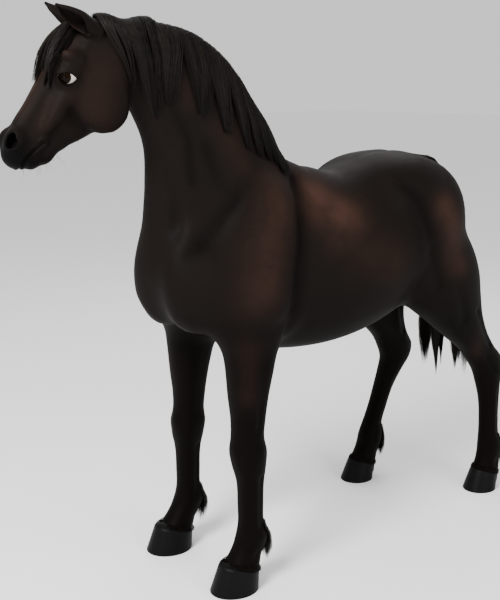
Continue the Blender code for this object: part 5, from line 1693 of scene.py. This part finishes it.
def cloudy(tree, sizes):
    """Uneven light and dark, whose patches have these sizes in millimetres along the three axes."""
    place = add_node(tree, "ShaderNodeTexCoord", output="Object")
    per_metre = [MILLIMETRES / size for size in sizes]
    place = add_node(tree, "ShaderNodeVectorMath", {0: place, 1: per_metre}, operation="MULTIPLY")
    inputs = {"Vector": place, "Scale": 1.0, "Detail": NOISE_DETAIL}
    return add_node(tree, "ShaderNodeTexNoise", inputs, output="Fac")


def coat_colour(tree):
    """The coat's colours at each place: black-brown, with reddish brown painted highlights over the muscles
    broken into uneven patches, black on the legs, painted shade in the grooves and folds and on the
    underside, and dark bare skin on the muzzle."""
    uneven = {"Value": cloudy(tree, [PATCHES_MM] * 3), "From Min": PATCHES_FROM, "From Max": PATCHES_TO}
    uneven = add_node(tree, "ShaderNodeMapRange", uneven)
    colour = linear(COAT_BASE)
    for name, over in (("tan", COAT_TAN_HIGHLIGHT), ("dark", COAT_BLACK_AND_SHADE), ("bare", MUZZLE_SKIN)):
        part = add_node(tree, "ShaderNodeAttribute", output="Fac", attribute_name=name)
        # the tan of the painted highlights shows only in uneven patches
        if name == "tan":
            part = add_node(tree, "ShaderNodeMath", {0: part, 1: uneven}, operation="MULTIPLY")
        layers = {MIX_SHARE: part, MIX_UNDER: colour, MIX_OVER: linear(over)}
        colour = add_node(tree, "ShaderNodeMix", layers, MIX_COLOUR, data_type="RGBA")
    return colour


def short_coat():
    """Short horsehair that lies flat over the skin. A fine relief gives the eye its grain, and a middling
    roughness with little mirror shine gives it a soft gloss over the muscles. One hair is under a tenth
    of a millimetre wide, too fine to show, so the grain is drawn as coarse as it needs to show."""
    made, tree = new_material("short_black_brown_coat")
    ridges = {"Height": cloudy(tree, GRAIN_MM), "Strength": GRAIN_STRENGTH, "Distance": GRAIN_DEPTH}
    bump = add_node(tree, "ShaderNodeBump", ridges)
    colour = coat_colour(tree)
    return shaded(made, Base_Color=colour, Roughness=SKIN_ROUGH, Normal=bump, Specular_IOR_Level=COAT_SHINE)


def coat_tufts():
    """Tufts of the same horsehair, grown out past the skin: they have its colours, each a little lighter
    towards the tips' colour by its own shade, which gives the eye separate locks of hair."""
    made, tree = new_material("coat_hair")
    shade = add_node(tree, "ShaderNodeAttribute", output="Fac", attribute_name="shade")
    lighter = add_node(tree, "ShaderNodeMapRange", {"Value": shade, "From Min": 0, "From Max": TUFT_TIPS})
    layers = {MIX_SHARE: lighter, MIX_UNDER: coat_colour(tree), MIX_OVER: linear(COAT_TIP)}
    colour = add_node(tree, "ShaderNodeMix", layers, MIX_COLOUR, data_type="RGBA")
    return shaded(made, Base_Color=colour, Roughness=TUFT_ROUGH, Specular_IOR_Level=COAT_SHINE)


def long_hair():
    """Coarse horsehair of the mane and tail, grown long: smoother than the coat, so it gives the eye a
    shine along the strands, and each strand has a shade of its own, which parts it from the next."""
    made, tree = new_material("long_black_hair")
    shade = add_node(tree, "ShaderNodeAttribute", output="Fac", attribute_name="shade")
    layers = {MIX_SHARE: shade, MIX_UNDER: linear(HAIR_DARK), MIX_OVER: linear(HAIR_LIGHT)}
    colour = add_node(tree, "ShaderNodeMix", layers, MIX_COLOUR, data_type="RGBA")
    return shaded(made, Base_Color=colour, Roughness=HAIR_ROUGH, Specular_IOR_Level=HAIR_SHINE)


def hoof_horn():
    """Dark horn, grown down from the coronet and rubbed dull by the ground: flat bands of lighter and
    darker horn give the eye its growth rings."""
    made, tree = new_material("dark_hoof_horn")
    layers = {MIX_SHARE: cloudy(tree, GROWTH_MM), MIX_UNDER: linear(HORN_DARK), MIX_OVER: linear(HORN_LIGHT)}
    colour = add_node(tree, "ShaderNodeMix", layers, MIX_COLOUR, data_type="RGBA")
    return shaded(made, Base_Color=colour, Roughness=HORN_ROUGH, Specular_IOR_Level=HORN_SHINE)


def eyeball():
    """A living eye under a film of tears, which is nearly smooth and so gives the eye a sharp glint: a
    dark brown iris round a level oval pupil, paler only at the rim."""
    made, tree = new_material("wet_brown_eye")
    gaze = add_node(tree, "ShaderNodeAttribute", output="Vector", attribute_name="gaze")
    colour = linear(PUPIL)
    for level, edge, over in ((PUPIL_LEVEL, PUPIL_EDGE, IRIS), (1, IRIS_EDGE, SCLERA)):
        flat = add_node(tree, "ShaderNodeVectorMath", {0: gaze, 1: (1, level, 0)}, operation="MULTIPLY")
        radius = add_node(tree, "ShaderNodeVectorMath", {0: flat}, output="Value", operation="LENGTH")
        inner, outer = edge
        part = add_node(tree, "ShaderNodeMapRange", {"Value": radius, "From Min": inner, "From Max": outer})
        layers = {MIX_SHARE: part, MIX_UNDER: colour, MIX_OVER: linear(over)}
        colour = add_node(tree, "ShaderNodeMix", layers, MIX_COLOUR, data_type="RGBA")
    return shaded(made, Base_Color=colour, Roughness=EYE_ROUGH, Specular_IOR_Level=EYE_SHINE)


# ---------------------------------------------------------------- the studio
def build_floor():
    """A plain pale floor, painted matt, that runs far behind the horse."""
    made, _ = new_material("pale_floor")
    shaded(made, Base_Color=linear(FLOOR_COLOUR), Roughness=FLOOR_ROUGH)
    half = FLOOR_HALF
    corners = np.array([(-half, -half, 0), (half, -half, 0), (half, half, 0), (-half, half, 0)], float)
    floor = bpy.data.objects.new("floor", new_mesh("floor", corners, [np.array([[0, 1, 2, 3]])]))
    bpy.context.scene.collection.objects.link(floor)
    floor.data.materials.append(made)
    floor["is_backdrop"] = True


def build_light():
    """Soft studio light: a wide key from above the camera's left, a fill from the horse's left, a rim from
    behind its right, and a pale world."""
    world = bpy.data.worlds.new("studio")
    world.use_nodes = True
    world.node_tree.nodes["Background"].inputs["Color"].default_value = linear(WORLD_COLOUR)
    world.node_tree.nodes["Background"].inputs["Strength"].default_value = WORLD_STRENGTH
    bpy.context.scene.world = world
    for name, place, size, power in LIGHTS:
        data = bpy.data.lights.new(name, "AREA")
        data.shape = "DISK"
        data.size = size
        data.energy = power
        lamp = bpy.data.objects.new(name, data)
        lamp.location = place
        direction = np.array(LIGHTS_AIM) - place
        lamp.rotation_mode = "QUATERNION"
        lamp.rotation_quaternion = Vector(direction.tolist()).to_track_quat("-Z", "Y")
        bpy.context.scene.collection.objects.link(lamp)
        lamp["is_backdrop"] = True


def build_camera():
    """Seen from its front left, from a little above its withers, looking down on it."""
    turn, pitch = math.radians(CAMERA_TURN), math.radians(CAMERA_PITCH)
    ahead = Vector((-math.sin(turn) * math.cos(pitch), math.cos(turn) * math.cos(pitch), math.sin(pitch)))
    data = bpy.data.cameras.new("camera")
    data.lens, data.sensor_width = CAMERA_LENS, CAMERA_SENSOR
    camera = bpy.data.objects.new("camera", data)
    camera.location = Vector(CAMERA_PLACE) + Vector(SHIFT.tolist())
    camera.rotation_mode = "QUATERNION"
    camera.rotation_quaternion = ahead.to_track_quat("-Z", "Y")
    bpy.context.scene.collection.objects.link(camera)
    bpy.context.scene.camera = camera


def write_size():
    """The boxes of the solids and of what is shown, side by side."""
    boxes = {"cad": CAD_BOX, "visual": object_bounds()}
    {name: [list(corner) for corner in box] for name, box in boxes.items()}


def main():
    """Builds the horse, the floor, the light and the camera."""
    coat, tufts, hair, horn, eye = short_coat(), coat_tufts(), long_hair(), hoof_horn(), eyeball()
    flesh = flesh_forms()

    def value_at(points):
        """The field of the flesh without the ears."""
        return field(points, flesh)

    skin = build_skin(coat)
    build_hooves(horn)
    build_eyes(eye)
    build_mane(value_at, hair)
    build_forelock(value_at, hair)
    build_tail(hair)
    build_tail_head(value_at, hair)
    build_feather(value_at, hair)
    build_whiskers(value_at, hair)
    build_coronets(value_at, tufts)
    build_coat(skin, value_at, tufts)
    build_floor()
    build_light()
    build_camera()
    write_size()


main()
